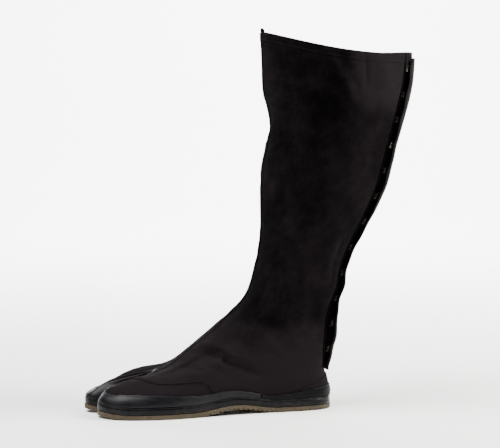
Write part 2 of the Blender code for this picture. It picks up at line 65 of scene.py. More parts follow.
TOE_SPRING = 0.004
CLEARANCE = 0.0003
LIFTED_RINGS = 7.0

EDGE_COLUMNS = ("name", "along", "across", "lean", "turn", "guard", "split")
EDGE = (
    ("back", 0.000, 0.00, 0.10, 0.000, 0.93, 0),
    ("heel_out", 0.033, 0.70, 0.10, 0.045, 0.92, 0),
    ("heel_side", 0.126, 1.00, 0.12, 0.090, 0.86, 0),
    ("waist", 0.267, 0.94, 0.10, 0.140, 0.68, 0),
    ("arch", 0.395, 0.92, 0.12, 0.190, 0.74, 0),
    ("ball_out", 0.585, 0.98, 0.45, 0.240, 0.86, 0),
    ("wide", 0.726, 1.00, 0.95, 0.290, 0.92, 0),
    ("shoulder", 0.852, 0.90, 1.25, 0.340, 0.95, 0),
    ("knuckle", 0.932, 0.68, 1.00, 0.385, 0.92, 0.1),
    ("tip_four", 0.975, 0.33, 0.55, 0.420, 0.88, 0.4),
    ("inner_four", 0.963, 0.02, 0.35, 0.450, 1.08, 0.8),
    ("wall_four", 0.887, -0.085, 0.45, 0.472, 1.35, 1),
    ("fork_four", 0.804, -0.115, 0.60, 0.488, 1.60, 1),
    ("crotch", 0.787, -0.18, 0.50, 0.500, 1.74, 1),
    ("fork_big", 0.804, -0.245, 0.60, 0.512, 1.60, 1),
    ("wall_big", 0.900, -0.28, 0.70, 0.528, 1.35, 1),
    ("inner_big", 0.978, -0.36, 1.00, 0.550, 1.02, 0.8),
    ("tip_big", 1.000, -0.60, 1.30, 0.580, 0.86, 0.4),
    ("corner_big", 0.978, -0.85, 1.20, 0.615, 0.88, 0.1),
    ("side_big", 0.889, -0.99, 1.00, 0.660, 0.95, 0),
    ("ball_in", 0.733, -1.00, 0.90, 0.710, 0.92, 0),
    ("arch_in", 0.556, -0.80, 0.30, 0.760, 0.84, 0),
    ("waist_in", 0.389, -0.70, -0.15, 0.810, 0.72, 0),
    ("narrow_in", 0.241, -0.80, -0.05, 0.860, 0.70, 0),
    ("heel_side_in", 0.126, -0.98, 0.12, 0.910, 0.86, 0),
    ("heel_in", 0.033, -0.70, 0.10, 0.955, 0.92, 0),
)
FOOT_COLUMNS = ("name", "front", "rise", "back", "back_rise", "inset", "notch", "oval")
FOOT_RINGS = (
    ("feather", 1.000, 0.000, 0.000, 0.000, 0.000, 1.00, 0.00),
    ("bulge", 0.992, 0.105, 0.006, 0.110, 0.037, 1.00, 0.00),
    ("edge", 0.958, 0.200, 0.023, 0.230, 0.096, 1.00, 0.00),
    ("toe_top", 0.924, 0.290, 0.017, 0.330, 0.190, 1.00, 0.00),
    ("ridge", 0.865, 0.380, 0.007, 0.420, 0.275, 0.74, 0.00),
    ("fork", 0.778, 0.455, -0.002, 0.490, 0.350, 0.34, 0.05),
    ("vamp", 0.674, 0.575, -0.006, 0.565, 0.410, 0.00, 0.25),
    ("throat", 0.592, 0.740, -0.011, 0.635, 0.430, 0.00, 0.50),
    ("instep", 0.502, 0.955, -0.016, 0.705, 0.450, 0.00, 0.75),
    ("bend", 0.424, 1.180, -0.028, 0.785, 0.450, 0.00, 0.95),
)
SHAFT_COLUMNS = ("name", "level", "drop", "middle", "depth", "width", "lean", "dip")
SHAFT_RINGS = (
    ("ankle", 0.303, -0.59, 0.1555, 0.635, 0.755, 0.00, 0.0),
    ("shin", 0.367, -0.27, 0.1300, 0.593, 0.765, 0.05, 0.0),
    ("low_calf", 0.435, -0.09, 0.0955, 0.620, 0.805, 0.15, 0.0),
    ("mid_calf", 0.501, 0.09, 0.0650, 0.694, 0.855, 0.30, 0.0),
    ("calf", 0.587, 0.09, 0.0280, 0.800, 0.905, 0.50, 0.0),
    ("over_calf", 0.665, 0.09, 0.0005, 0.839, 0.940, 0.65, 0.0),
    ("pinch", 0.758, 0.23, -0.0325, 0.850, 0.930, 0.80, 0.0),
    ("below_knee", 0.831, 0.23, -0.0370, 0.941, 0.990, 0.90, 0.0),
    ("knee", 0.915, 0.70, -0.0430, 0.985, 1.000, 0.95, 0.5),
    ("collar", 1.000, 1.00, -0.0455, 1.000, 1.000, 1.00, 1.0),
)
PLACES = len(EDGE)
TOP = len(FOOT_RINGS) + len(SHAFT_RINGS) - 1
TOP_RING = TOP - 1e-6


def column(table, names, name):
    """One named column of a table, as an array."""
    return np.array([row[names.index(name)] for row in table])


def smooth_step(x):
    """0 below 0, 1 above 1, and 3x^2 - 2x^3 between."""
    x = np.clip(x, 0.0, 1.0)
    return x * x * (3.0 - 2.0 * x)


def ground_lift(along):
    """Height of the sole above the floor: a cosine hump at the arch, a square law at the toes."""
    share = np.asarray(along) / LENGTH
    hump = np.clip((share - 0.24) / 0.38, 0.0, 1.0)
    spring = np.clip((share - 0.86) / 0.14, 0.0, 1.3)
    return ARCH_LIFT * 0.5 * (1.0 - np.cos(2.0 * math.pi * hump)) + TOE_SPRING * spring ** 2


def spline_weights(x):
    """Cell, weights and slopes of a uniform cubic B-spline at each x."""
    cell = np.floor(x + 1e-9)
    f = x - cell
    weight = np.stack([(1 - f) ** 3, 3 * f ** 3 - 6 * f ** 2 + 4,
                       -3 * f ** 3 + 3 * f ** 2 + 3 * f + 1, f ** 3], -1) / 6
    slope = np.stack([-(1 - f) ** 2, 3 * f ** 2 - 4 * f, -3 * f ** 2 + 2 * f + 1, f ** 2], -1) / 2
    return cell.astype(int), weight, slope


def net_through(points):
    """Control net of the bicubic spline surface through points[ring, place], closed round u."""
    rings, places, size = points.shape
    eye = np.eye(places)
    round_way = (4 * eye + np.roll(eye, 1, 0) + np.roll(eye, -1, 0)) / 6
    net = np.linalg.solve(round_way, points.transpose(1, 0, 2).reshape(places, -1))
    net = net.reshape(places, rings, size).transpose(1, 0, 2).reshape(rings, -1)
    if rings > 1:
        upward = (4 * np.eye(rings) + np.eye(rings, k=1) + np.eye(rings, k=-1)) / 6
        upward[0] = np.eye(rings)[0]
        upward[-1] = np.eye(rings)[-1]
        net = np.linalg.solve(upward, net)
    net = net.reshape(rings, places, size)
    if rings == 1:
        return np.repeat(net, 4, 0)
    return np.concatenate([2 * net[:1] - net[1:2], net, 2 * net[-1:] - net[-2:-1]])


def evaluate(net, u, v, along_u=False, along_v=False):
    """Point (or slope) at place u and ring v: sixteen net points weighted by both splines."""
    u, v = np.broadcast_arrays(np.asarray(u, float), np.asarray(v, float))
    rings, places = net.shape[:2]
    last = rings - 3
    cell_u, weight_u, slope_u = spline_weights(u)
    cell_v, weight_v, slope_v = spline_weights(np.clip(v, 0, last - 1e-6))
    weight_u = slope_u if along_u else weight_u
    weight_v = slope_v if along_v else weight_v
    result = np.zeros(u.shape + (net.shape[2],))
    for i in range(4):
        for j in range(4):
            share = (weight_v[..., i] * weight_u[..., j])[..., None]
            result += share * net[cell_v + i, (cell_u + j - 1) % places]
    return result


def edge_points():
    """The sole's edge as (along, across) pairs, and its outward directions."""
    share = column(EDGE, EDGE_COLUMNS, "along")
    widening = np.clip((share - 0.13) / 0.59, 0.0, 1.0)
    half = (HEEL_WIDTH + (BALL_WIDTH - HEEL_WIDTH) * widening) / 2
    points = np.stack([share * LENGTH, column(EDGE, EDGE_COLUMNS, "across") * half], -1)
    slope = evaluate(net_through(points[None]), np.arange(PLACES), 0.0, along_u=True)
    outward = np.stack([-slope[:, 1], slope[:, 0]], -1)
    return points, outward / np.linalg.norm(outward, axis=1, keepdims=True)


def make_rings():
    """Rings of (along, across, height): the edge drawn in ring by ring, then the shaft's ovals."""
    points, outward = edge_points()
    lean = column(EDGE, EDGE_COLUMNS, "lean")
    turn = column(EDGE, EDGE_COLUMNS, "turn") * 2.0 * math.pi
    split = column(EDGE, EDGE_COLUMNS, "split")
    rings = []
    for number, row in enumerate(FOOT_RINGS):
        ring = dict(zip(FOOT_COLUMNS, row))
        inset = ring["inset"] * BALL_WIDTH / 2 * (np.ones(PLACES) if number < 2 else lean)
        front, back = ring["front"] * LENGTH, ring["back"] * LENGTH
        if ring["name"] == "feather":
            back = FOXING_THICKNESS + CLEARANCE
            front = LENGTH - back
            inset = np.full(PLACES, back)
        plan = points - outward * inset[:, None]
        low, high = plan[:, 0].min(), plan[:, 0].max()
        along = back + (plan[:, 0] - low) * (front - back) / (high - low)
        across = plan[:, 1]
        oval_along = (front + back) / 2 - (front - back) / 2 * np.cos(turn)
        oval_across = ANKLE_WIDTH / 2 * np.sin(turn)
        closed = 1.0 - (1.0 - ring["oval"]) * (1.0 - split * (1.0 - ring["notch"]))
        along = along + (oval_along - along) * closed
        across = across + (oval_across - across) * closed
        way = (along - back) / (front - back)
        rise = ring["back_rise"] * ANKLE_HEIGHT * (1 - way) + ring["rise"] * INSTEP_HEIGHT * way
        rings.append(np.stack([along, across, SOLE_THICKNESS + CLEARANCE + rise], -1))
    for row in SHAFT_RINGS:
        ring = dict(zip(SHAFT_COLUMNS, row))
        along = ring["middle"] * LENGTH - ring["depth"] * CALF_DEPTH / 2 * np.cos(turn)
        across = ring["width"] * CALF_WIDTH / 2 * np.sin(turn) - ring["lean"] * SHAFT_LEAN
        height = ring["level"] * SHAFT_HEIGHT - ring["drop"] * COLLAR_DROP * (1 + np.cos(turn)) / 2
        height = height - ring["dip"] * COLLAR_DIP * np.sin(turn) ** 2
        rings.append(np.stack([along, across, height], -1))
    return np.array(rings)


def to_world(points):
    """Turn (along, across, height) into X, Y and Z."""
    along, across, height = np.moveaxis(np.asarray(points), -1, 0)
    return np.stack([across, HEEL_REST - along, height], -1)


LAST_NET = net_through(to_world(make_rings()))
EDGE_NET = net_through(np.concatenate(edge_points(), -1)[None])


def last_directions():
    """Net of the outward directions: slope up the boot times slope round it, at the rings."""
    u, v = np.meshgrid(np.arange(PLACES), np.minimum(np.arange(TOP + 1), TOP_RING))
    outward = np.cross(evaluate(LAST_NET, u, v, along_v=True), evaluate(LAST_NET, u, v, along_u=True))
    return net_through(outward / np.linalg.norm(outward, axis=-1, keepdims=True))


OUTWARD_NET = last_directions()


def last(u, v, proud=0.0):
    """Point of the last at place u and ring v, moved outwards, and lifted with the sole low down."""
    points = evaluate(LAST_NET, u, v) + np.asarray(proud)[..., None] * evaluate(OUTWARD_NET, u, v)
    follow = 1.0 - smooth_step(np.asarray(v) / LIFTED_RINGS)
    points[..., 2] += ground_lift(HEEL_REST - points[..., 1]) * follow
    return points


def ring_at(u, height, above_sole=True):
    """Ring number at which the last reaches a height at each place."""
    tries = np.linspace(0.0, TOP_RING, 240)
    u, height = np.broadcast_arrays(np.asarray(u, float), height)
    points = last(u.ravel()[:, None], tries[None, :] * np.ones((u.size, 1)))
    level = points[..., 2]
    if above_sole:
        level = level - ground_lift(HEEL_REST - points[..., 1])
    found = [np.interp(wanted, row, tries) for wanted, row in zip(height.ravel(), level)]
    return np.array(found).reshape(u.shape)


def beside(u, v, distance):
    """Places at a distance to the left of a path over the last, by the slopes of its surface."""
    round_slope = evaluate(LAST_NET, u, v, along_u=True)
    up_slope = evaluate(LAST_NET, u, v, along_v=True)
    tangent = np.gradient(last(u, v), axis=0)
    aside = np.cross(evaluate(OUTWARD_NET, u, v), tangent)
    aside = aside / np.linalg.norm(aside, axis=-1, keepdims=True)
    a, b, c = [(p * q).sum(-1) for p, q in ((round_slope, round_slope), (round_slope, up_slope),
                                            (up_slope, up_slope))]
    p, q = (round_slope * aside).sum(-1), (up_slope * aside).sum(-1)
    area = a * c - b * b
    return u + distance * (c * p - b * q) / area, v + distance * (a * q - b * p) / area


SCAN_U, SCAN_V = np.meshgrid(np.arange(0, PLACES, 0.05), np.arange(0.0, TOP, 0.05))
SCAN = last(SCAN_U, SCAN_V)
SCAN_OUT = evaluate(OUTWARD_NET, SCAN_U, SCAN_V)
# Which two of X, Y, Z a side is measured in, the axis it faces, and the way it faces
SIDES = {"out": (1, 2, 0, 1), "in": (1, 2, 0, -1), "front": (0, 2, 1, -1), "back": (0, 2, 1, 1),
         "top": (1, 0, 2, 1)}


def place_on(side, first, second):
    """Place and ring of the point of a side nearest to two sizes in mm.

    out and in: along the foot and height. front and back: across and height. top: along, across.
    """
    i, j, facing, sign = SIDES[side]
    first = HEEL_REST - first / 1000 if i == 1 else first / 1000
    gap = (SCAN[..., i] - first) ** 2 + (SCAN[..., j] - second / 1000) ** 2
    gap = np.where(SCAN_OUT[..., facing] * sign > 0.05, gap, 1.0)
    found = np.unravel_index(gap.argmin(), gap.shape)
    return SCAN_U[found], SCAN_V[found]


def path_over(points, count=40):
    """Smooth path over the last through (side, first, second) marks: places and rings."""
    marks = np.array([place_on(*point) for point in points])
    jump = np.round(np.diff(marks[:, 0], prepend=marks[0, 0]) / PLACES)
    marks[:, 0] -= np.cumsum(jump) * PLACES
    steps = np.linalg.norm(np.diff(last(marks[:, 0], marks[:, 1]), axis=0), axis=1)
    way = np.concatenate([[0.0], np.cumsum(steps)])
    even = np.linspace(0.0, way[-1], count)
    path = np.stack([np.interp(even, way, marks[:, k]) for k in (0, 1)], -1)
    for _ in range(3):
        path[1:-1] = (path[:-2] + 2 * path[1:-1] + path[2:]) / 4
    return path[:, 0], path[:, 1]


# The folds: how the black canvas creases from wear and from lying folded in its box. They are
# soft troughs (minus) and ridges (plus): path over the last, width and depth in millimetres.
FOLDS = (
    # over the ankle and the vamp, outer side
    ((("out", 161, 65), ("out", 149, 68), ("out", 139, 68), ("out", 129, 66), ("out", 119, 61),
      ("out", 107, 52), ("out", 94, 42), ("out", 74, 34)), 5.6, -3.0),
    ((("out", 150, 74), ("out", 138, 75), ("out", 124, 71), ("out", 110, 62), ("out", 94, 50)), 4.4, 2.2),
    ((("out", 152, 60), ("out", 138, 60), ("out", 125, 54), ("out", 112, 45)), 3.6, 0.4),
    ((("out", 174, 52), ("out", 160, 53), ("out", 142, 49)), 2.6, -1.4),
    ((("out", 143, 60), ("out", 137, 52), ("out", 132, 43)), 3.4, -0.9),
    ((("out", 94, 104), ("out", 76, 93), ("out", 59, 79), ("out", 37, 62)), 7.0, -2.2),
    ((("out", 125, 94), ("out", 111, 94), ("out", 95, 90), ("out", 80, 84)), 8.0, 1.6),
    ((("out", 120, 82), ("out", 104, 80), ("out", 86, 72), ("out", 66, 60)), 5.0, -1.3),
    # shaft, outer side: where it lay folded over
    ((("out", 72, 274), ("out", 66, 284), ("out", 60, 291), ("out", 54, 291), ("out", 51, 285),
      ("out", 46, 279), ("out", 41, 283), ("out", 33, 288)), 2.2, 0.9),
    ((("out", 68, 268), ("out", 52, 271), ("out", 36, 274), ("out", 18, 266)), 7.0, -1.1),
    ((("out", 33, 272), ("out", 18, 271), ("out", 4, 270)), 2.4, 0.6),
    ((("out", -9, 283), ("out", -18, 278), ("out", -27, 275)), 2.4, 0.6),
    ((("out", 66, 306), ("out", 58, 297), ("out", 50, 292)), 5.0, -0.9),
    # top of the shaft, outer side
    ((("out", 26, 398), ("out", 18, 393), ("out", 8, 376), ("out", -6, 352), ("out", -14, 332)), 4.5, 1.6),
    ((("out", 8, 396), ("out", -4, 381), ("out", -12, 362), ("out", -19, 342)), 4.5, -1.7),
    ((("out", -25, 391), ("out", -26, 378), ("out", -28, 366), ("out", -27, 350)), 2.4, -1.1),
    ((("out", -47, 384), ("out", -50, 364), ("out", -48, 346)), 12.0, 2.0),
    # rear of the lower shaft, outer side
    ((("out", -9, 195), ("out", -1, 180), ("out", 5, 165), ("out", 7, 137)), 3.5, -1.1),
    ((("out", 2, 200), ("out", 9, 182), ("out", 14, 163), ("out", 16, 136)), 4.5, 0.8),
    # front outer quarter, short folds across
    ((("out", 72, 344), ("out", 58, 341), ("out", 44, 345)), 3.5, -0.6),
    ((("out", 70, 326), ("out", 56, 322), ("out", 40, 326)), 3.5, -0.6),
    ((("out", 80, 258), ("out", 66, 254), ("out", 50, 258)), 4.0, -0.7),
    ((("out", 84, 228), ("out", 68, 223), ("out", 48, 228)), 4.0, -0.7),
    ((("out", 92, 150), ("out", 76, 143), ("out", 56, 146)), 5.0, -1.0),
    # round the front and the inner side
    ((("front", -20, 138), ("in", 84, 132), ("in", 62, 124), ("in", 38, 112)), 5.0, -1.5),
    ((("in", 112, 106), ("in", 92, 98), ("in", 70, 86), ("in", 44, 68)), 5.5, -1.8),
    ((("in", 118, 96), ("in", 98, 88), ("in", 76, 74), ("in", 54, 58)), 5.0, 1.2),
    ((("in", 150, 72), ("in", 132, 68), ("in", 112, 56), ("in", 92, 40)), 4.0, -1.4),
    ((("in", 170, 56), ("in", 152, 52), ("in", 132, 42)), 3.5, -0.8),
    ((("in", 78, 332), ("in", 58, 328), ("in", 32, 334)), 4.0, -1.1),
    ((("in", 76, 308), ("in", 54, 303), ("in", 24, 310)), 4.5, -1.3),
    ((("in", 72, 284), ("in", 50, 290), ("in", 30, 282), ("in", 8, 288)), 3.0, 0.9),
    ((("in", 82, 250), ("in", 60, 244), ("in", 36, 250)), 4.5, -0.8),
    ((("in", 84, 205), ("in", 62, 198), ("in", 34, 206)), 4.5, -0.8),
    ((("in", 80, 168), ("in", 60, 160), ("in", 36, 166)), 4.5, -0.9),
    ((("in", 20, 396), ("in", 10, 374), ("in", 4, 350)), 6.0, -1.2),
    ((("in", -20, 390), ("in", -26, 366), ("in", -22, 340)), 6.0, 1.2),
)
WAVES = 14
WAVE_SEED = 7
WAVE_LENGTHS = (0.035, 0.110)
WAVE_HEIGHT = 0.00042
CLOTH_FROM = 0.028


def soft_waves(points):
    """Slack of the cloth: a sum of sines along fixed random directions, in metres."""
    draw = np.random.default_rng(WAVE_SEED)
    way = draw.normal(size=(WAVES, 3)) * (1.0, 1.0, 0.6)
    length = draw.uniform(*WAVE_LENGTHS, WAVES)
    phase = draw.uniform(0.0, 2.0 * math.pi, WAVES)
    way = way / np.linalg.norm(way, axis=1, keepdims=True) / length[:, None] * 2.0 * math.pi
    return WAVE_HEIGHT * np.sin(points @ way.T + phase).sum(-1) / math.sqrt(WAVES / 4)


FOLD_LINES = [last(*path_over(path, 24)) for path, _, _ in FOLDS]


def fold_depth(points):
    """Sum over the folds: depth x exp(-(distance / width)^2), fading towards a fold's ends."""
    flat = points.reshape(-1, 3)
    depth = soft_waves(flat)
    for line, (_, width, height) in zip(FOLD_LINES, FOLDS):
        width, height = width / 1000, height / 1000
        close = ((flat > line.min(0) - 3 * width) & (flat < line.max(0) + 3 * width)).all(1)
        near = flat[close]
        gap = np.full(len(near), 1.0)
        share = np.zeros(len(near))
        for number, (start, end) in enumerate(zip(line[:-1], line[1:])):
            edge = end - start
            along = np.clip((near - start) @ edge / (edge @ edge), 0.0, 1.0)
            reach = np.linalg.norm(near - start - along[:, None] * edge, axis=1)
            share = np.where(reach < gap, (number + along) / (len(line) - 1), share)
            gap = np.minimum(reach, gap)
        taper = smooth_step(share / 0.3) * smooth_step((1.0 - share) / 0.3)
        depth[close] += height * np.exp(-(gap / width) ** 2) * (0.15 + 0.85 * taper)
    free = smooth_step((flat[:, 2] - CLOTH_FROM) / 0.020)
    return (depth * free).reshape(points.shape[:-1])


def cloth(u, v, proud=0.0):
    """Point of the worn canvas: the last moved outwards by the folds' depth and by proud."""
    u, v = np.broadcast_arrays(np.asarray(u, float), np.asarray(v, float))
    return last(u, v, fold_depth(last(u, v)) + proud)


class Wire:
    """One output of a material's node. Arithmetic on wires and numbers adds Math nodes."""

    def __init__(self, tree, socket):
        self.tree, self.socket = tree, socket

    def node(self, kind, settings=(), inputs=(), output=0):
        """Add a node: first its settings or ramp stops, then its sockets' values or wires."""
        made = self.tree.nodes.new("ShaderNode" + kind)
        for name, value in dict(settings).items():
            if name == "stops":
                while len(made.color_ramp.elements) < len(value):
                    made.color_ramp.elements.new(1.0)
                for stop, (place, colour) in zip(made.color_ramp.elements, value):
                    stop.position = place
                    stop.color = (*colour, 1.0)
            else:
                setattr(made, name, value)
        for name, value in dict(inputs).items():
            if isinstance(value, Wire):
                self.tree.links.new(value.socket, made.inputs[name])
            else:
                made.inputs[name].default_value = value
        return Wire(self.tree, made.outputs[output])

    def math(self, operation, first, second=0.0):
        """A Math node of one or two wires or numbers."""
        return self.node("Math", {"operation": operation}, {0: first, 1: second})

    def __add__(self, other):
        return self.math("ADD", self, other)

    def __radd__(self, other):
        return self.math("ADD", other, self)

    def __sub__(self, other):
        return self.math("SUBTRACT", self, other)

    def __rsub__(self, other):
        return self.math("SUBTRACT", other, self)

    def __mul__(self, other):
        return self.math("MULTIPLY", self, other)

    def __rmul__(self, other):
        return self.math("MULTIPLY", other, self)

    def __truediv__(self, other):
        return self.math("DIVIDE", self, other)

    def __pow__(self, other):
        return self.math("POWER", self, other)

    def between(self, low, high):
        """0 at low, 1 at high, clamped, with a soft S between."""
        settings = {"interpolation_type": 'SMOOTHSTEP'}
        return self.node("MapRange", settings, {0: self, 1: low, 2: high})

    def mixed(self, first, second):
        """Colour between two colours by this wire."""
        pick = [(*tone, 1.0) if isinstance(tone, tuple) else tone for tone in (first, second)]
        return self.node("Mix", {"data_type": 'RGBA'}, {0: self, 6: pick[0], 7: pick[1]}, 2)

    def noise(self, scale, detail=3.0, roughness=0.55, stretch=(1.0, 1.0, 1.0)):
        """Value noise on this vector wire, finer along an axis with a larger stretch."""
        vector = self.node("VectorMath", {"operation": 'MULTIPLY'}, {0: self, 1: stretch})
        sizes = {"Vector": vector, "Scale": scale, "Detail": detail, "Roughness": roughness}
        return self.node("TexNoise", {}, sizes)

    def parts(self):
        """The three numbers of this vector wire."""
        split = self.tree.nodes.new("ShaderNodeSeparateXYZ")
        self.tree.links.new(self.socket, split.inputs[0])
        return [Wire(self.tree, split.outputs[number]) for number in range(3)]


def new_material(name):
    """A Principled material, and wires of its object coordinates and its UV map in metres."""
    material = bpy.data.materials.new(name)
    material.use_nodes = True
    tree = material.node_tree
    coordinates = tree.nodes.new("ShaderNodeTexCoord")
    return material, Wire(tree, coordinates.outputs["Object"]), Wire(tree, coordinates.outputs["UV"])


def set_shader(material, fixed=(), wired=(), bump=None, distance=0.0002, strength=1.0):
    """Set the Principled's fixed sockets, link its changing ones, and link a bump's height."""
    shader = material.node_tree.nodes["Principled BSDF"]
    for name, value in dict(fixed).items():
        shader.inputs[name].default_value = value
    for name, wire in dict(wired).items():
        wire.tree.links.new(wire.socket, shader.inputs[name])
    if bump is not None:
        raised = bump.node("Bump", {}, {"Strength": strength, "Distance": distance, "Height": bump})
        raised.tree.links.new(raised.socket, shader.inputs["Normal"])
    return material


def canvas(name, dark, faded, thread=0.00055, dust=0.10, sheen=0.004, shine=0.016):
    """Plain-woven cotton duck: over-and-under threads, uneven yarns, faded and dusty places.

    Weave height is |sin| of the warp where the two sines have one sign, |sin| of the weft where
    they differ; colour goes from dark to faded by wide noise, yarn noise and the weave's tops,
    low on the foot (worn), and at the shaft's upper rear outer corner as a painted highlight
    where the light from behind falls.
    """
    material, object_at, uv = new_material(name)
    across, up, _ = uv.parts()
    warp = uv.math("SINE", across * (math.pi / thread))
    weft = uv.math("SINE", up * (math.pi / thread))
    over = uv.math("GREATER_THAN", warp * weft, 0.0)
    weave = over * uv.math("ABSOLUTE", warp) + (1.0 - over) * uv.math("ABSOLUTE", weft)
    yarn_up = uv.noise(0.5 / thread, 2.0, 0.6, (1.0, 0.06, 1.0))
    yarn = yarn_up + uv.noise(0.5 / thread, 2.0, 0.6, (0.06, 1.0, 1.0))
    cloudy = object_at.noise(14.0, 4.0, 0.6)
    patches = object_at.noise(60.0, 5.0, 0.65)
    lint = object_at.noise(900.0, 1.0, 0.5).between(0.70, 0.82)
    sideways, along, high = object_at.parts()
    worn = 1.0 - high.between(0.030, 0.115)
    # painted highlight: the shaft's upper rear outer corner is made paler where the light from behind falls
    # on it
    painted_rim_light = high.between(0.315, 0.375) * along.between(0.035, 0.070) * sideways.between(0.0, 0.02)
    fade = cloudy * 0.55 + patches * 0.35 + yarn * 0.22 + weave * 0.10 + worn * 0.50 + painted_rim_light * 0.60
    tone = fade.between(0.56, 1.04).mixed(dark, faded)
    tone = (lint * dust).mixed(tone, (0.070, 0.064, 0.060))
    height = weave * 0.7 + yarn * 0.45 + patches * 0.3
    rough = 0.80 + patches * 0.16
    return set_shader(material, {"Sheen Weight": sheen, "Sheen Roughness": 0.45,
                                 "Sheen Tint": (0.62, 0.58, 0.56, 1.0), "Specular IOR Level": shine},
                      {"Base Color": tone, "Roughness": rough}, height, 0.00016, 0.8)


def rubber(name, dark, worn, gloss=0.34, grime=0.5, shine=0.11):
    """Moulded black rubber: a smooth gloss, rubbed paler on its high spots, dusty, finely pitted."""
    material, object_at, _ = new_material(name)
    wide = object_at.noise(22.0, 4.0, 0.6)
    fine = object_at.noise(240.0, 4.0, 0.7)
    pits = object_at.noise(1500.0, 2.0, 0.5)
    scratch = object_at.noise(120.0, 3.0, 0.6, (1.0, 0.15, 3.0)).between(0.56, 0.70)
    bloom = (wide * 0.6 + fine * 0.4).between(0.42, 0.68)
    low = 1.0 - object_at.parts()[2].between(0.004, 0.020)
    dirt = (low * 0.6 + 0.25) * (fine * 0.7 + wide * 0.5).between(0.55, 0.80) * grime
    tone = bloom.mixed(dark, worn)
    tone = dirt.mixed(tone, (0.030, 0.026, 0.021))
    rough = gloss + bloom * 0.12 + dirt * 0.35 + scratch * 0.10
    height = fine * 0.5 + pits * 0.25 + wide * 1.2 - scratch * 0.25
    return set_shader(material, {"Specular IOR Level": shine},
                      {"Base Color": tone, "Roughness": rough}, height, 0.00025, 0.55)


def length_round(points):
    """Running lengths along the lines and up the columns of a grid, as a UV map in metres."""
    across = np.linalg.norm(np.diff(points, axis=1), axis=-1)
    up = np.linalg.norm(np.diff(points, axis=0), axis=-1)
    across = np.concatenate([np.zeros((len(points), 1)), np.cumsum(across, 1)], 1)
    up = np.concatenate([np.zeros((1, points.shape[1])), np.cumsum(up, 0)], 0)
    return np.stack([across, up], -1)


def new_piece(name, vertices, faces, material, nodes=(), slot=None, uv=None, smooth=40.0, turn_out=False):
    """Mesh object that rides on the boot. nodes: the CAD nodes it stands for. uv: per vertex."""
    mesh = bpy.data.meshes.new(name)
    mesh.from_pydata(np.asarray(vertices).reshape(-1, 3).tolist(), [], faces)
    layer = mesh.uv_layers.new(name="UVMap")
    corner = np.zeros(len(mesh.loops), dtype=np.int32)
    mesh.loops.foreach_get("vertex_index", corner)
    if uv is None:
        uv = np.asarray(vertices).reshape(-1, 3)[:, [1, 2]]
    layer.data.foreach_set("uv", np.asarray(uv).reshape(-1, 2)[corner].astype(np.float32).ravel())
    if turn_out:
        body = bmesh.new()
        body.from_mesh(mesh)
        bmesh.ops.recalc_face_normals(body, faces=body.faces)
        body.to_mesh(mesh)
        body.free()
    mesh.materials.append(material)
    mesh.shade_smooth()
    mesh.set_sharp_from_angle(angle=math.radians(smooth))
    piece = bpy.data.objects.new(name, mesh)
    bpy.context.scene.collection.objects.link(piece)
    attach(piece, "root")
    if nodes:
        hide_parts(*nodes)
    return piece


def grid_faces(lines, places, start=0, ring=False, flip=False):
    """Quads of a grid numbered line by line from start, closed round if it is a ring."""
    number = start + np.arange(lines * places).reshape(lines, places)
    if ring:
        number = np.concatenate([number, number[:, :1]], 1)
    quads = np.stack([number[:-1, :-1], number[1:, :-1], number[1:, 1:], number[:-1, 1:]], -1)
    quads = quads.reshape(-1, 4)
    return quads[:, ::-1] if flip else quads


def sheet_between(name, outer, inner, material, ring=False, **extra):
    """Closed sheet between two grids of points[line, place], its four rims joined by strips."""
    lines, places = outer.shape[:2]
    first = np.arange(lines * places).reshape(lines, places)
    under = first + lines * places
    if ring:
        first = np.concatenate([first, first[:, :1]], 1)
        under = np.concatenate([under, under[:, :1]], 1)

    def rim(a, b):
        return np.stack([a[:-1], a[1:], b[1:], b[:-1]], -1)

    parts = [grid_faces(lines, places, 0, ring), grid_faces(lines, places, lines * places, ring, True)]
    parts += [rim(first[0], under[0]), rim(under[-1], first[-1])]
    if not ring:
        parts += [rim(under[:, 0], first[:, 0]), rim(first[:, -1], under[:, -1])]
    uv = length_round(outer)
    vertices = np.concatenate([outer.reshape(-1, 3), inner.reshape(-1, 3)])
    faces = np.concatenate(parts).tolist()
    return new_piece(name, vertices, faces, material, uv=np.concatenate([uv, uv]), **extra)


# The upper: two whole-cut panels of black cotton duck, sewn down the front and lasted over the
# foot, with a plain lining inside. Cloth and lining are one wall, closed over at the collar.
CANVAS_THICKNESS = 0.0011
WALL = 0.0020
FINE = 3
FOOT_RINGS, FOOT_ROWS, SHAFT_ROWS = 9.0, 66, 126
COLUMNS_A_PLACE = 15
BLACK_DUCK = canvas("black_duck", (0.0006, 0.0004, 0.0006), (0.0090, 0.0072, 0.0080))
LINING = canvas("lining_cotton", (0.010, 0.0095, 0.0095), (0.018, 0.017, 0.0165), 0.0007, 0.2, 0.03)


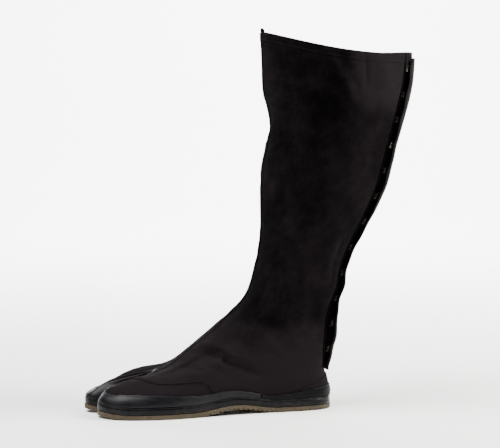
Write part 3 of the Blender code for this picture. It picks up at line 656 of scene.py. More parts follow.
def make_upper():
    """Outer grid of the canvas, with a coarser inner grid every third line, rims of hexagons."""
    rows = np.concatenate([np.linspace(0.0, FOOT_RINGS, FOOT_ROWS + 1)[:-1],
                           np.linspace(FOOT_RINGS, TOP_RING, SHAFT_ROWS + 1)])
    v, u = np.meshgrid(rows, np.arange(PLACES * COLUMNS_A_PLACE) / COLUMNS_A_PLACE, indexing="ij")
    folds = fold_depth(last(u, v))
    outer = last(u, v, folds)
    coarse = (slice(None, None, FINE), slice(None, None, FINE))
    inner = last(u[coarse], v[coarse], folds[coarse] - CANVAS_THICKNESS)
    lines, places = outer.shape[:2]
    few_lines, few = inner.shape[:2]
    start = lines * places
    faces = grid_faces(lines, places, 0, True).tolist()
    faces += grid_faces(few_lines, few, start, True, True).tolist()
    for line, few_line, way in ((0, 0, 1), (lines - 1, few_lines - 1, -1)):
        first = line * places + np.arange(places + 1) % places
        under = start + few_line * few + np.arange(few + 1) % few
        rim = [[*first[k * FINE:(k + 1) * FINE + 1], under[k + 1], under[k]][::way] for k in range(few)]
        faces += [[int(number) for number in face] for face in rim]
    uv = length_round(np.concatenate([outer, outer[:, :1]], 1))[:, :-1]
    uv = np.concatenate([uv.reshape(-1, 2), uv[coarse].reshape(-1, 2)])
    vertices = np.concatenate([outer.reshape(-1, 3), inner.reshape(-1, 3)])
    new_piece("canvas_upper", vertices, faces, BLACK_DUCK, ["upper"], "canvas", uv, 60.0)
    face = last(u[coarse], v[coarse], folds[coarse] - CANVAS_THICKNESS - 0.0001)
    back = last(u[coarse], v[coarse], folds[coarse] - WALL)
    sheet_between("lining", face, back, LINING, True, slot="lining", smooth=60.0)


make_upper()


# The sewing: black polyester thread in rows of lockstitch, 2.9 millimetres from centre to centre.
# Each stitch is its own small arch of thread.
STITCH_LENGTH, STITCH_RADIUS, STITCH_RISE, STITCH_SINK = 0.0021, 0.00020, 0.00022, 0.0001
STITCH_SIDES, STITCH_RINGS = 6, 5
THREAD = rubber("sewing_thread", (0.0030, 0.0027, 0.0029), (0.0080, 0.0074, 0.0076), 0.50, 0.1, 0.08)


def stitches(name, rows, pitch=0.0029, material=THREAD):
    """Rows of (places, rings, proud): six-sided threads whose middle rises by 1 - s^2, s along them."""
    s = np.array([-1.0, -0.6, 0.0, 0.6, 1.0])
    width = STITCH_RADIUS * np.array([0.5, 0.9, 1.0, 0.9, 0.5])
    rise = STITCH_RISE * (1.0 - s ** 2) - STITCH_SINK
    turn = np.arange(STITCH_SIDES) * math.pi / 3
    each = STITCH_RINGS * STITCH_SIDES
    parts = []
    for u, v, proud in rows:
        line, out = cloth(u, v, proud), evaluate(OUTWARD_NET, u, v)
        way = np.concatenate([[0.0], np.cumsum(np.linalg.norm(np.diff(line, axis=0), axis=1))])
        middle = np.arange(pitch / 2, way[-1], pitch)
        wanted = ((middle + 0.0004, line), (middle, line), (middle, out))
        ahead, centre, normal = [np.stack([np.interp(place, way, values[:, k]) for k in range(3)], -1)
                                 for place, values in wanted]
        tangent = ahead - centre
        tangent = tangent / np.linalg.norm(tangent, axis=1, keepdims=True)
        aside = np.cross(normal, tangent)
        tangent, aside, normal, centre = [item[:, None, None] for item in (tangent, aside, normal, centre)]
        point = centre + tangent * (s * STITCH_LENGTH / 2)[:, None, None]
        point = point + aside * (width[:, None] * np.cos(turn))[..., None]
        point = point + normal * (width[:, None] * np.sin(turn) + rise[:, None])[..., None]
        parts.append(point.reshape(-1, each, 3))
    points = np.concatenate(parts)
    start = each * np.arange(len(points))[:, None, None]
    sides = (grid_faces(STITCH_RINGS, STITCH_SIDES, 0, True)[None] + start).reshape(-1, 4).tolist()
    caps = np.stack([np.arange(STITCH_SIDES)[::-1], np.arange(each - STITCH_SIDES, each)])
    faces = sides + (caps[None] + start).reshape(-1, STITCH_SIDES).tolist()
    new_piece(name, points, faces, material, slot="canvas", smooth=70.0, turn_out=True)


def tape(name, u, v, width, thickness, material=None, sink=0.0003):
    """Narrow strip of cloth along a path over the last, thinner at its two edges, closed below."""
    across = np.array([-1.0, -0.96, -0.86, -0.45, 0.0, 0.45, 0.86, 0.96, 1.0]) * width / 2
    height = thickness * np.array([0.1, 0.7, 1.0, 1.0, 1.0, 1.0, 1.0, 0.7, 0.1])
    places = np.array([beside(u, v, gap) for gap in across])
    outer = cloth(places[:, 0], places[:, 1], height[:, None] * np.ones(len(u)))
    inner = cloth(places[:, 0], places[:, 1], -sink)
    sheet_between(name, outer, inner, material or BLACK_DUCK, slot="canvas", smooth=60.0, turn_out=True)


# The seams of the upper: the front seam joins the two panels from the split to the collar, and a
# felled seam crosses the vamp of the four toes. Each is a doubled edge between two rows of thread.
CROTCH = 13.0
FRONT_V = np.linspace(5.4, TOP_RING, 260)
FRONT_U = np.full(260, CROTCH)
tape("front_seam", FRONT_U, FRONT_V, 0.0034, 0.0007)
VAMP_MARKS = (("top", 217, -4), ("top", 217, 8), ("top", 213, 20), ("top", 207, 28), ("top", 199, 33),
              ("out", 189, 38.3), ("out", 176, 39.5), ("out", 165, 40.5), ("out", 153, 40.5),
              ("out", 145, 35.5), ("out", 139, 27))
VAMP_U, VAMP_V = path_over(VAMP_MARKS, 90)
tape("vamp_seam", VAMP_U, VAMP_V, 0.0050, 0.0008)
SEAM_ROWS = [(*beside(FRONT_U, FRONT_V, gap), 0.0) for gap in (-0.0030, 0.0030)]
SEAM_ROWS += [(*beside(VAMP_U, VAMP_V, gap), 0.0008) for gap in (-0.0017, 0.0017)]
stitches("seam_stitches", SEAM_ROWS)

# The collar: the cloth's edge folded inwards over the lining and sewn down, and the end of the
# front seam, a small tab of its allowance that stands up at the front.
HEM_BELOW = (0.0100, 0.0096, 0.0090, 0.0060, 0.0030, 0.0010, 0.0003,
             0.0, 0.0003, 0.0010, 0.0040, 0.0080, 0.0096, 0.0100)
HEM_PROUD = (0.00, 0.28, 0.38, 0.42, 0.42, 0.40, 0.20, -1.00, -2.20, -2.38, -2.42, -2.40, -2.28, -1.95)
HEM_CREST, HEM_CREST_RISE = 7, 0.0005
HEM_STITCH_BELOW = 0.0078
COLLAR_U = np.arange(0, PLACES, 0.05)


def make_collar():
    """Profile of depths below the edge and distances from the last, carried round the collar."""
    top = last(COLLAR_U, TOP_RING)[:, 2]
    v = np.array([ring_at(COLLAR_U, top - below, False) for below in HEM_BELOW])
    proud = np.array(HEM_PROUD)[:, None] / 1000
    points = cloth(COLLAR_U * np.ones_like(v), v, proud * np.ones_like(v))
    points[HEM_CREST, :, 2] += HEM_CREST_RISE
    points[[HEM_CREST - 1, HEM_CREST + 1], :, 2] += HEM_CREST_RISE / 2
    number = np.arange(v.size).reshape(v.shape)
    number = np.concatenate([number, number[:, :1]], 1)
    number = np.concatenate([number, number[:1]], 0)
    faces = np.stack([number[:-1, :-1], number[1:, :-1], number[1:, 1:], number[:-1, 1:]], -1).reshape(-1, 4)
    uv = length_round(points)
    new_piece("collar_hem", points, faces.tolist(), BLACK_DUCK, slot="canvas", uv=uv, smooth=60.0,
              turn_out=True)
    row = ring_at(COLLAR_U, top - HEM_STITCH_BELOW, False)
    stitches("collar_stitches", [(COLLAR_U, row, 0.0004)])


NUB_DEEP, NUB_WIDE, NUB_TALL = 0.0014, 0.0024, 0.0040
NUB_AROUND, NUB_LEVELS = 20, 11


def make_nub():
    """Ellipsoid squeezed by a power law, its two poles closed, at the collar's front corner."""
    turn = np.linspace(0.0, 2.0 * math.pi, NUB_AROUND, endpoint=False)
    climb = np.linspace(-0.96, 0.96, NUB_LEVELS)[:, None] * math.pi / 2
    shape = np.stack([NUB_DEEP * np.cos(climb) * np.cos(turn) + 0.0006 * np.sin(climb) ** 2,
                      NUB_WIDE * np.cos(climb) ** 0.7 * np.sin(turn) - 0.0010 * np.sin(climb),
                      NUB_TALL * np.sin(climb) * np.ones_like(turn)], -1)
    points = shape + last(CROTCH, TOP_RING) + (0.0, 0.0008, 0.0008)
    count = NUB_LEVELS * NUB_AROUND
    faces = grid_faces(NUB_LEVELS, NUB_AROUND, 0, True).tolist()
    faces += [list(range(NUB_AROUND)), list(range(count - NUB_AROUND, count))]
    new_piece("seam_end", points, faces, BLACK_DUCK, slot="canvas", smooth=70.0, turn_out=True)


make_collar()
make_nub()


# The insole: a thin pad of cotton over felt, glued on the sole inside the upper. Its edge is
# softened and its top is worn.
PAD_BEVEL = 0.0009


def make_insole():
    """The CAD pad's own outline, merged, its edges rounded by a bevel."""
    body = bmesh.new()
    body.from_mesh(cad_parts["insole"].data)
    bmesh.ops.remove_doubles(body, verts=body.verts, dist=1e-6)
    bmesh.ops.dissolve_limit(body, angle_limit=0.01, verts=body.verts, edges=body.edges)
    sharp = [edge for edge in body.edges if len(edge.link_faces) == 2 and edge.calc_face_angle(0) > 0.9]
    bmesh.ops.bevel(body, geom=sharp, offset=PAD_BEVEL, segments=2, affect='EDGES', profile=0.5)
    bmesh.ops.recalc_face_normals(body, faces=body.faces)
    vertices = [vertex.co[:] for vertex in body.verts]
    body.verts.index_update()
    faces = [[vertex.index for vertex in face.verts] for face in body.faces]
    body.free()
    material = canvas("insole_twill", (0.085, 0.075, 0.060), (0.150, 0.135, 0.110), 0.0009, 0.2, 0.1)
    uv = np.array(vertices)[:, :2]
    new_piece("insole_pad", vertices, faces, material, ["insole"], "lining", uv)


make_insole()


# The foxing: the lower strip of black rubber, cemented round the sole's edge, round both toe
# lobes and into the split, and vulcanised. It has a bead at its top and a fine line below it.
FOXING_HEIGHT = 0.0135
SOLE_EDGE_SHARE = (0.0, 0.06, 0.14, 0.24, 0.36, 0.48, 0.60, 0.70, 0.76, 0.80, 0.84, 0.90, 0.96, 1.0)
SOLE_EDGE_BACK = (0.45, 0.15, 0.02, 0.0, 0.0, 0.02, 0.0, 0.05, 0.30, 0.38, 0.10, 0.02, 0.20, 0.75)
BLACK_RUBBER = rubber("black_rubber", (0.0016, 0.0016, 0.0021), (0.0040, 0.0041, 0.0050), 0.28)
COLUMNS_OF_RUBBER = 40


def sole_edge(u, proud=0.0):
    """Points (along, across) of the sole's edge, moved outwards by proud."""
    both = evaluate(EDGE_NET, u, 0.0)
    return both[..., :2] + np.asarray(proud)[..., None] * both[..., 2:]


def heel_ribs(u, height):
    """Moulded ribs round the heel's back: a sine of the height, fading out towards the sides."""
    away = np.minimum(u % PLACES, PLACES - u % PLACES)
    return 0.00028 * np.sin(height / 0.0034 * 2 * math.pi) * (1.0 - smooth_step((away - 1.0) / 1.6))


def make_foxing():
    """Profile of shares and set-backs carried round the sole's edge, closed along the last."""
    u = np.arange(PLACES * COLUMNS_OF_RUBBER) / COLUMNS_OF_RUBBER
    top = ring_at(u, FOXING_HEIGHT)
    inner = last(u * np.ones((5, 1)), np.linspace(0.0, 1.0, 5)[:, None] * top, CLEARANCE * 0.5)
    share, back = np.array(SOLE_EDGE_SHARE)[:, None], np.array(SOLE_EDGE_BACK)[:, None] / 1000
    wobble = 0.00012 * np.sin(u * 9.7) + 0.00010 * np.sin(u * 23.1 + 1.0)
    along, across = np.moveaxis(sole_edge(u * np.ones_like(share), -back + wobble * share), -1, 0)
    floor = ground_lift(along) + SOLE_THICKNESS + CLEARANCE
    rise = (last(u, top)[:, 2] - ground_lift(HEEL_REST - last(u, top)[:, 1])) - SOLE_THICKNESS - CLEARANCE
    height = floor + rise * share
    ribs = heel_ribs(u * np.ones_like(share), height)
    along, across = np.moveaxis(sole_edge(u * np.ones_like(share), -back + wobble * share + ribs), -1, 0)
    outer = to_world(np.stack([along, across, height], -1))
    profile = np.concatenate([outer, inner[::-1]])
    faces = grid_faces(len(profile), len(u), 0, True)
    number = np.arange(len(profile) * len(u)).reshape(len(profile), len(u))
    ends = np.concatenate([number[[-1, 0]], number[[-1, 0], :1]], 1)
    closing = np.stack([ends[0, :-1], ends[1, :-1], ends[1, 1:], ends[0, 1:]], -1)
    new_piece("foxing_band", profile, np.concatenate([faces, closing]).tolist(), BLACK_RUBBER,
              ["foxing"], "black_rubber", smooth=50.0)


make_foxing()


# The guards: the upper strips of rubber, laid over the canvas edge. One goes round the toes from
# waist to waist and up both sides of the split, one round the heel, and their ends meet in a step.
GUARD_THICKNESS = 0.0017
GUARD_HEIGHT = 0.027
GUARD_END_OUT, GUARD_END_IN = 3.5, 22.5
GUARD_SHARE = (0.0, 0.03, 0.08, 0.16, 0.26, 0.38, 0.50, 0.62, 0.72, 0.80, 0.86, 0.91, 0.95, 0.98, 1.0)
GUARD_SWELL = (0.55, 0.92, 1.02, 1.04, 1.04, 1.06, 1.06, 1.04, 1.00, 0.96, 0.98, 1.04, 0.98, 0.72, 0.30)
TOE_RUBBER = rubber("toe_rubber", (0.0028, 0.0028, 0.0038), (0.0066, 0.0067, 0.0084), 0.34, 0.3, 0.12)
HEEL_RUBBER = rubber("heel_rubber", (0.0013, 0.0013, 0.0018), (0.0030, 0.0031, 0.0038), 0.40, 0.3, 0.06)


def guard_top(u):
    """Height of the rubber's upper edge, through the edge table's shares, trimmed by hand."""
    heights = column(EDGE, EDGE_COLUMNS, "guard") * GUARD_HEIGHT
    level = evaluate(net_through(heights[None, :, None]), u, 0.0)[..., 0]
    return level + 0.00022 * np.sin(u * 7.3) + 0.00016 * np.sin(u * 17.9 + 2.0)


def make_guard(name, node, start, end, material):
    """Strip of the last between two heights, swelling by the profile's shares of its thickness."""
    u = np.linspace(start, end, int((end - start) * COLUMNS_OF_RUBBER))
    low = ring_at(u, FOXING_HEIGHT + 0.0001)
    high = ring_at(u, guard_top(u))
    share, swell = np.array(GUARD_SHARE)[:, None], np.array(GUARD_SWELL)[:, None]
    v = low + (high - low) * share
    u = u * np.ones_like(v)
    plain = last(u, v)
    swell = swell * (1.0 + 0.10 * np.sin(u * 5.1) * np.sin(share * 3.0))
    ends = smooth_step((u - start) / 0.05 + 0.35) * smooth_step((end - u) / 0.05 + 0.35)
    proud = CLEARANCE * 0.5 + GUARD_THICKNESS * swell * ends + heel_ribs(u, plain[..., 2])
    sheet_between(name, last(u, v, proud), last(u, v, CLEARANCE * 0.4), material,
                  nodes=[node], slot="black_rubber", smooth=50.0)


OVERLAP = 0.009
make_guard("toe_rubber", "toe_guard", GUARD_END_OUT, GUARD_END_IN, TOE_RUBBER)
make_guard("heel_rubber", "heel_guard", GUARD_END_IN - PLACES + OVERLAP, GUARD_END_OUT - OVERLAP, HEEL_RUBBER)


# The outsole: calendered gum rubber, brown, ribbed across from heel to arch. The CAD solid has
# its true outline and ribs, so it stays and gets its finish: warm, matt, darkened by dirt.
def gum():
    """Gum rubber: warm brown by wide noise, darkened in noise patches of dirt, with fine crumb and ribs in
    its bump below 14 mm.
    """
    material, object_at, _ = new_material("gum_rubber")
    _, along, height = object_at.parts()
    wide = object_at.noise(30.0, 4.0, 0.6)
    fine = object_at.noise(420.0, 4.0, 0.7)
    ribs = object_at.math("SINE", along * (2.0 * math.pi / 0.0027))
    dirt = (fine * 0.6 + wide * 0.6).between(0.48, 0.78) * 0.75
    tone = wide.between(0.35, 0.68).mixed((0.036, 0.024, 0.009), (0.070, 0.048, 0.018))
    tone = dirt.mixed(tone, (0.020, 0.013, 0.008))
    shape = fine * 0.8 + ribs * 0.35 * (1.0 - height.between(0.006, 0.014))
    rough = 0.55 + fine * 0.25
    return set_shader(material, {"Specular IOR Level": 0.4},
                      {"Base Color": tone, "Roughness": rough}, shape, 0.0003, 0.6)


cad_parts["outsole"].data.materials.clear()
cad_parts["outsole"].data.materials.append(gum())


# The heel counter: a patch of the same canvas over the back seam, its upper edge turned under
# and sewn down with two rows, its lower edge held by the rubber.
COUNTER_THICKNESS = 0.0010
COUNTER_HEIGHT = 0.038
COUNTER_REACH = 2.2


def counter_edge(u):
    """Height of the patch's upper edge: highest at the back, sloping down to the rubber."""
    foot = guard_top(u)
    reach = np.clip(np.abs(u) / COUNTER_REACH, 0.0, 1.0)
    return np.maximum(foot + 0.003, COUNTER_HEIGHT - (COUNTER_HEIGHT - foot) * reach ** 1.6)


def make_counter():
    """Strip of the cloth from the rubber to the edge, rounded off over its last millimetres."""
    u = np.linspace(-COUNTER_REACH, COUNTER_REACH, 150)
    low, high = ring_at(u, guard_top(u) + 0.0003), ring_at(u, counter_edge(u))
    share = np.array([0.0, 0.08, 0.18, 0.28, 0.38, 0.48, 0.58, 0.68, 0.78, 0.87, 0.93, 0.97, 1.0])[:, None]
    v = low + (high - low) * share
    u = u * np.ones_like(v)
    swell = np.clip((1.0 - share) / 0.08, 0.25, 1.0) ** 0.5 * (1.0 + 0.18 * smooth_step((share - 0.7) / 0.15))
    ends = smooth_step((COUNTER_REACH - np.abs(u)) / 0.04 + 0.3)
    outer = cloth(u, v, CLEARANCE * 0.5 + COUNTER_THICKNESS * swell * ends)
    inner = cloth(u, v, np.full(v.shape, 0.0001))
    sheet_between("heel_patch", outer, inner, BLACK_DUCK, nodes=["heel_counter"], slot="canvas")


make_counter()
EDGE_U = np.linspace(-COUNTER_REACH * 0.9, COUNTER_REACH * 0.9, 120)
stitches("heel_patch_stitches", [(EDGE_U, ring_at(EDGE_U, counter_edge(EDGE_U) - gap), 0.0013)
                                 for gap in (0.0018, 0.0042)])


# The back flap: the inner panel's edge, folded double, wrapped over the back opening onto the
# outer side. A hem runs up its free edge, which stands off a little between the clasps.
FLAP_THICKNESS = 0.0016
FLAP_LIFT_IN = 0.0006
FLAP_LIFT = 0.0032
FLAP_GAPE = 0.0004
FLAP_ROWS = 230
FLAP_BOTTOM = 0.040
FLAP_BELOW_COLLAR = 0.006
FLAP_IN, FLAP_EDGE, FLAP_EDGE_LOW, FLAP_WIDENS = -1.0, 2.05, 0.80, 0.200
CLASP_COUNT = 12
CLASP_FIRST = 0.066
CLASP_LAST_BELOW_COLLAR = 0.017
CLASP_TOP = last(FLAP_EDGE, TOP_RING)[2] - CLASP_LAST_BELOW_COLLAR
CLASP_HEIGHTS = np.linspace(CLASP_FIRST, CLASP_TOP, CLASP_COUNT)


def flap_edge(height):
    """Place round the last of the flap's free edge: nearer the back low down."""
    way = smooth_step((np.asarray(height) - FLAP_BOTTOM) / (FLAP_WIDENS - FLAP_BOTTOM))
    return FLAP_EDGE_LOW + (FLAP_EDGE - FLAP_EDGE_LOW) * way


def flap_places(way, up):
    """Place and ring on the flap: way 0 to 1 across it to the free edge, up 0 to 1 along it."""
    corner = 0.007 * smooth_step((way - 0.75) / 0.25) ** 2
    low = ring_at(FLAP_IN + (FLAP_EDGE_LOW - FLAP_IN) * way, FLAP_BOTTOM + corner, False)
    across = FLAP_IN + (FLAP_EDGE - FLAP_IN) * way
    level = last(across, TOP_RING)[..., 2] - FLAP_BELOW_COLLAR
    high = ring_at(across, level, False)
    v = low + (high - low) * up
    height = last(across * np.ones_like(v), v)[..., 2]
    return FLAP_IN + (flap_edge(height) - FLAP_IN) * way, v, height


def flap_proud(way, height):
    """Distance of the flap's inner face from the wall: it rises towards the free edge."""
    pitch = (CLASP_TOP - CLASP_FIRST) / (CLASP_COUNT - 1)
    wave = 1.0 - np.cos((height - CLASP_FIRST) / pitch * 2 * math.pi)
    gape = FLAP_GAPE * wave * smooth_step((way - 0.7) / 0.3)
    return FLAP_LIFT_IN + (FLAP_LIFT - FLAP_LIFT_IN) * smooth_step((way - 0.3) / 0.7) + gape


def make_flap():
    """Grid across and up the flap; the hem's double edge swells over the last 9 mm."""
    way = np.concatenate([np.linspace(0.0, 0.80, 26)[:-1], np.linspace(0.80, 0.97, 14)[:-1],
                          [0.970, 0.978, 0.986, 0.993, 0.998, 1.0]])
    up = np.linspace(0.0, 1.0, FLAP_ROWS)[:, None] * np.ones(len(way))
    u, v, height = flap_places(way * np.ones((FLAP_ROWS, 1)), up)
    lift = flap_proud(way, height)
    hem = 0.00035 * (smooth_step((way - 0.86) / 0.02) - 0.5 * smooth_step((way - 0.97) / 0.02))
    swell = (0.35 + 0.65 * smooth_step(way / 0.15)) * np.sqrt(np.clip((1.0 - way) / 0.018, 0.02, 1.0))
    thick = FLAP_THICKNESS * swell + hem
    middle = FLAP_THICKNESS * 0.5 * (1.0 - np.sqrt(np.clip((1.0 - way) / 0.018, 0.02, 1.0)))
    depth = fold_depth(last(u, v))
    outer, inner = last(u, v, depth + lift + middle + thick), last(u, v, depth + lift + middle)
    duck = canvas("flap_duck", (0.0016, 0.0013, 0.0015), (0.0062, 0.0050, 0.0054), sheen=0.08)
    sheet_between("flap_cloth", outer, inner, duck, nodes=["back_flap"], slot="canvas", smooth=60.0)


make_flap()


def flap_rows(gaps):
    """Rows up the flap's outer face, each at a distance from the free edge."""
    up = np.linspace(0.03, 0.985, 240)
    rows = []
    for gap in gaps:
        _, v, height = flap_places(np.ones_like(up), up)
        u = flap_edge(height)
        right = np.linalg.norm(last(u + 0.05, v) - last(u - 0.05, v), axis=1) / 0.1
        u = u - gap / right
        way = (u - FLAP_IN) / (flap_edge(height) - FLAP_IN)
        rows.append((u, v, flap_proud(way, height) + FLAP_THICKNESS + 0.00025))
    return rows


stitches("flap_stitches", flap_rows((0.0022, 0.0085)))

# The loop tape: black herringbone tape sewn down the outer panel beside the opening, in the
# flap's shade; its near-black colour without sheen or shine is painted shade of the recess
# under the flap. The loops for the clasps are sewn into it; a facing ends it at the collar.
TAPE_MARKS = ((0.047, 0.95), (0.053, 1.10), (0.074, 1.46), (0.101, 1.91), (0.139, 2.45),
              (0.200, 2.55), (0.294, 2.52), (0.349, 2.36), (0.409, 2.30))
TAPE_WIDTH = 0.013
# painted shade: the tape's cloth is near-black with no sheen and no shine, standing for the shadow under the
# flap
TAPE_PAINTED_SHADE = canvas("loop_tape_painted_shade", (0.0006, 0.0005, 0.0005), (0.0012, 0.0010, 0.0010), 0.0010, 0.02, 0.0, 0.0)


def tape_path(count=260):
    """Middle of the loop tape: its front edge through the marks, less half its width."""
    height = np.linspace(TAPE_MARKS[0][0], last(2.3, TOP_RING)[2] - 0.0005, count)
    u = np.interp(height, *zip(*TAPE_MARKS))
    for _ in range(30):
        u[1:-1] = (u[:-2] + 2 * u[1:-1] + u[2:]) / 4
    v = ring_at(u, height, False)
    right = np.linalg.norm(last(u + 0.05, v) - last(u - 0.05, v), axis=1) / 0.1
    return u - TAPE_WIDTH / 2 / right, v, height


TAPE_U, TAPE_V, TAPE_Z = tape_path()
tape("loop_tape_painted_shade", TAPE_U, TAPE_V, TAPE_WIDTH, 0.0006, TAPE_PAINTED_SHADE)
FACING = TAPE_Z > TAPE_Z[-1] - 0.016
tape("collar_facing", TAPE_U[FACING] + 0.02, TAPE_V[FACING], 0.0095, 0.0013)
stitches("tape_stitches", [(*beside(TAPE_U, TAPE_V, gap), 0.0006) for gap in (-0.0052, 0.0052)])
stitches("facing_stitches", [(*beside(TAPE_U[FACING] + 0.02, TAPE_V[FACING], gap), 0.0013)
                             for gap in (-0.0034, 0.0034)])


def tubes(name, lines, radius, material):
    """Round threads of eight sides along lines of points with their outward directions."""
    ring = np.arange(8)[:, None] * math.pi / 4
    points, faces, start = [], [], 0
    for line, normal in lines:
        tangent = np.gradient(line, axis=0)
        tangent = tangent / np.linalg.norm(tangent, axis=1, keepdims=True)
        aside, normal = np.cross(normal, tangent)[:, None], normal[:, None]
        circle = line[:, None] + radius * (aside * np.cos(ring) + normal * np.sin(ring))
        points.append(circle.reshape(-1, 3))
        end = start + 8 * len(line)
        faces += grid_faces(len(line), 8, start, True).tolist()
        faces += [list(range(start, start + 8)), list(range(end - 8, end))]
        start = end
    new_piece(name, np.concatenate(points), faces, material, slot="canvas", smooth=70.0, turn_out=True)


LOOP_ROOT, LOOP_REACH, LOOP_HALF_WIDTH, LOOP_RADIUS = 0.0048, 0.0040, 0.0021, 0.00045
LOOP_PROUD, LOOP_ARCH = 0.0007, 0.0012


def make_loops():
    """Waxed thread in an arch: a semicircle over the tape from its root round the clasp's tip."""
    turn = np.linspace(0.0, math.pi, 18)
    lines = []
    for height in CLASP_HEIGHTS:
        edge = float(flap_edge(height))
        middle = float(ring_at(edge, height, False))
        right = np.linalg.norm(last(edge + 0.1, middle) - last(edge - 0.1, middle)) / 0.2
        up = np.linalg.norm(last(edge, middle + 0.1) - last(edge, middle - 0.1)) / 0.2
        u = edge + (LOOP_ROOT - LOOP_REACH * np.sin(turn)) / right
        v = middle - LOOP_HALF_WIDTH * np.cos(turn) / up
        line = cloth(u, v, LOOP_PROUD + LOOP_ARCH * np.sin(turn))
        lines.append((line, evaluate(OUTWARD_NET, u, v)))
    tubes("thread_loops", lines, LOOP_RADIUS, THREAD)


def make_hem_edge():
    """The fold of the flap's hem, rubbed pale: a thin roll along its free edge."""
    (u, v, proud), = flap_rows((0.0002,))
    pale = canvas("rubbed_hem", (0.0045, 0.0042, 0.0042), (0.0170, 0.0160, 0.0155))
    line = cloth(u, v, proud - FLAP_THICKNESS * 0.5)
    tubes("hem_edge", [(line, evaluate(OUTWARD_NET, u, v))], 0.00075, pale)


make_loops()
make_hem_edge()


# The clasps: small plates of plated brass, sewn under the flap's edge, each hooked into a loop
# of waxed thread on the outer panel. Twelve of them, one above the other.
CLASP_WIDTH = 0.009
CLASP_REACH_IN, CLASP_REACH_OUT = 0.0110, 0.0025
CLASP_THICKNESS, CLASP_METAL, CLASP_BASE = 0.0008, 0.00055, 0.0005
# The two plates whose glints show keep the bright metal; the other ten get near-black metal as painted shade,
# as if lying in the flap's shadow.
GLINTING_CLASPS = (9, 12)


def clasp_metal(name, clean, tarnished, rough):
    """Plated brass, tarnished: warm grey metal, duller and browner in soft patches."""
    material, object_at, _ = new_material(name)
    patches = object_at.noise(500.0, 4.0, 0.65).between(0.38, 0.66)
    fine = object_at.noise(2600.0, 2.0, 0.5)
    tone = patches.mixed(clean, tarnished)
    return set_shader(material, {"Metallic": 1.0}, {"Base Color": tone, "Roughness": rough + patches * 0.25},
                      fine, 0.00005, 0.4)


def make_clasps():
    """Rounded plates: radius and turn on a grid, domed, with a rolled rim."""
    # painted shade: a near-black copy of the plated metal for the ten plates that read as shaded; the two
    # glinting plates keep the bright metal
    shaded_metal = clasp_metal("clasp_painted_shade", (0.040, 0.034, 0.026), (0.012, 0.010, 0.008), 0.50)
    glint_metal = clasp_metal("clasp_bright_glint", (0.72, 0.70, 0.66), (0.30, 0.27, 0.20), 0.22)
    turn = np.linspace(0.0, 2.0 * math.pi, 40, endpoint=False)
    radius = np.array([0.0, 0.35, 0.62, 0.80, 0.90, 0.96, 1.0])[:, None]
    rise = np.array([0.55, 0.55, 0.52, 0.62, 0.95, 0.90, 0.50])[:, None]
    for number, height in enumerate(CLASP_HEIGHTS):
        edge = float(flap_edge(height))
        middle = ring_at(edge, height, False)
        right = np.linalg.norm(last(edge + 0.1, middle) - last(edge - 0.1, middle)) / 0.2
        up = np.linalg.norm(last(edge, middle + 0.1) - last(edge, middle - 0.1)) / 0.2
        across = np.sign(np.cos(turn)) * np.abs(np.cos(turn)) ** 0.7
        taper = 1.0 - 0.18 * (np.cos(turn) > 0) * np.cos(turn)
        along = np.sign(np.sin(turn)) * np.abs(np.sin(turn)) ** 0.7 * taper
        centre = (CLASP_REACH_OUT - CLASP_REACH_IN) / 2
        half = (CLASP_REACH_OUT + CLASP_REACH_IN) / 2
        u = edge + (centre + half * across * radius) / right
        v = middle + CLASP_WIDTH / 2 * along * radius / up
        depth = fold_depth(last(u, v)) + CLASP_BASE + CLASP_THICKNESS * (0.35 + rise)
        top, low = last(u, v, depth), last(u, v, depth - CLASP_METAL)
        lines, places = top.shape[:2]
        fan = [[0] + [1 + place, 1 + (place + 1) % places] for place in range(places)]
        points = np.concatenate([top[0, :1], top[1:].reshape(-1, 3), low[0, :1], low[1:].reshape(-1, 3)])
        count = 1 + (lines - 1) * places
        quads = grid_faces(lines - 1, places, 1, True)
        edge_now = np.arange(count - places, count)
        edge_next = np.roll(edge_now, -1)
        rim = np.stack([edge_now, edge_now + count, edge_next + count, edge_next], -1)
        faces = [face[::-1] for face in fan] + quads.tolist()
        faces += [[item + count for item in face] for face in fan] + (quads[:, ::-1] + count).tolist()
        faces += rim.tolist()
        metal = glint_metal if number + 1 in GLINTING_CLASPS else shaded_metal
        new_piece(f"plate_{number + 1:02d}", points, faces, metal, [f"clasp_{number + 1:02d}"], "clasp",
                  turn_out=True)


make_clasps()


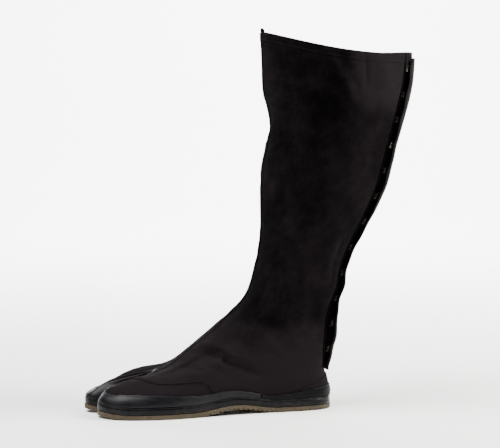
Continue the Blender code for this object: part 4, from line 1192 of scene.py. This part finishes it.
# The floor, the light and the camera. A pale floor, a large soft light overhead, a rim light from
# behind the heel as in the photograph, and the camera at the height and angle the photograph has.
def make_stage():
    """A wide floor plane that curves up far behind."""
    way = np.linspace(0.0, 1.0, 40)
    far = np.array([-0.9563, 0.2924])
    side = np.array([0.2924, 0.9563])
    run = np.concatenate([np.linspace(-12.0, 2.4, 20), 2.4 + 1.6 * np.sin(way[1:] * math.pi / 2)])
    rise = np.concatenate([np.zeros(20), 1.6 * (1.0 - np.cos(way[1:] * math.pi / 2))])
    run, rise = np.append(run, 4.0), np.append(rise, 5.0)
    wide = np.linspace(-12.0, 12.0, 9)
    points = np.zeros((len(run), len(wide), 3))
    points[..., :2] = run[:, None, None] * far + wide[None, :, None] * side
    points[..., 2] = rise[:, None]
    mesh = bpy.data.meshes.new("floor")
    faces = grid_faces(len(run), len(wide), 0, False, True).tolist()
    mesh.from_pydata(points.reshape(-1, 3).tolist(), [], faces)
    mesh.shade_smooth()
    material, object_at, _ = new_material("floor_paper")
    grain = object_at.noise(3.0, 3.0, 0.5)
    tone = grain.mixed((0.86, 0.86, 0.86), (0.90, 0.90, 0.90))
    set_shader(material, {"Specular IOR Level": 0.2}, {"Base Color": tone, "Roughness": 0.75 + grain * 0.1})
    mesh.materials.append(material)
    floor = bpy.data.objects.new("floor", mesh)
    bpy.context.scene.collection.objects.link(floor)


def soft_light(name, place, target, size, power, colour=(1.0, 1.0, 1.0)):
    """A square area light at a place, turned to a target."""
    lamp = bpy.data.lights.new(name, 'AREA')
    lamp.size = size
    lamp.energy = power
    lamp.color = colour
    light = bpy.data.objects.new(name, lamp)
    light.location = place
    light.rotation_euler = (Vector(target) - Vector(place)).to_track_quat("-Z", "Y").to_euler()
    bpy.context.scene.collection.objects.link(light)


make_stage()
MIDDLE = (-0.01, -0.05, 0.20)
soft_light("overhead", (0.15, -0.9, 2.1), MIDDLE, 1.5, 125.0)
soft_light("front_fill", (1.2, -2.4, 1.2), MIDDLE, 1.2, 5.0)
soft_light("rim_back", (0.30, 1.10, 1.15), (0.0, 0.05, 0.32), 0.45, 62.0, (1.0, 0.98, 0.93))
soft_light("backdrop", (-1.5, 0.5, 2.4), (-3.9, 1.2, 0.9), 1.8, 650.0)

world = bpy.data.worlds.new("studio")
world.use_nodes = True
world.node_tree.nodes["Background"].inputs["Color"].default_value = (1.0, 1.0, 1.0, 1.0)
world.node_tree.nodes["Background"].inputs["Strength"].default_value = 0.17
bpy.context.scene.world = world

CAMERA_PLACE = (2.1995, -0.6725, 0.400)
CAMERA_AIM = (-0.0157, -0.0513, 0.2006)
lens = bpy.data.cameras.new("camera")
lens.lens = 152.2
lens.sensor_width = 36.0
camera = bpy.data.objects.new("camera", lens)
camera.location = CAMERA_PLACE
camera.rotation_euler = (Vector(CAMERA_AIM) - Vector(CAMERA_PLACE)).to_track_quat("-Z", "Y").to_euler()
bpy.context.scene.collection.objects.link(camera)
bpy.context.scene.camera = camera
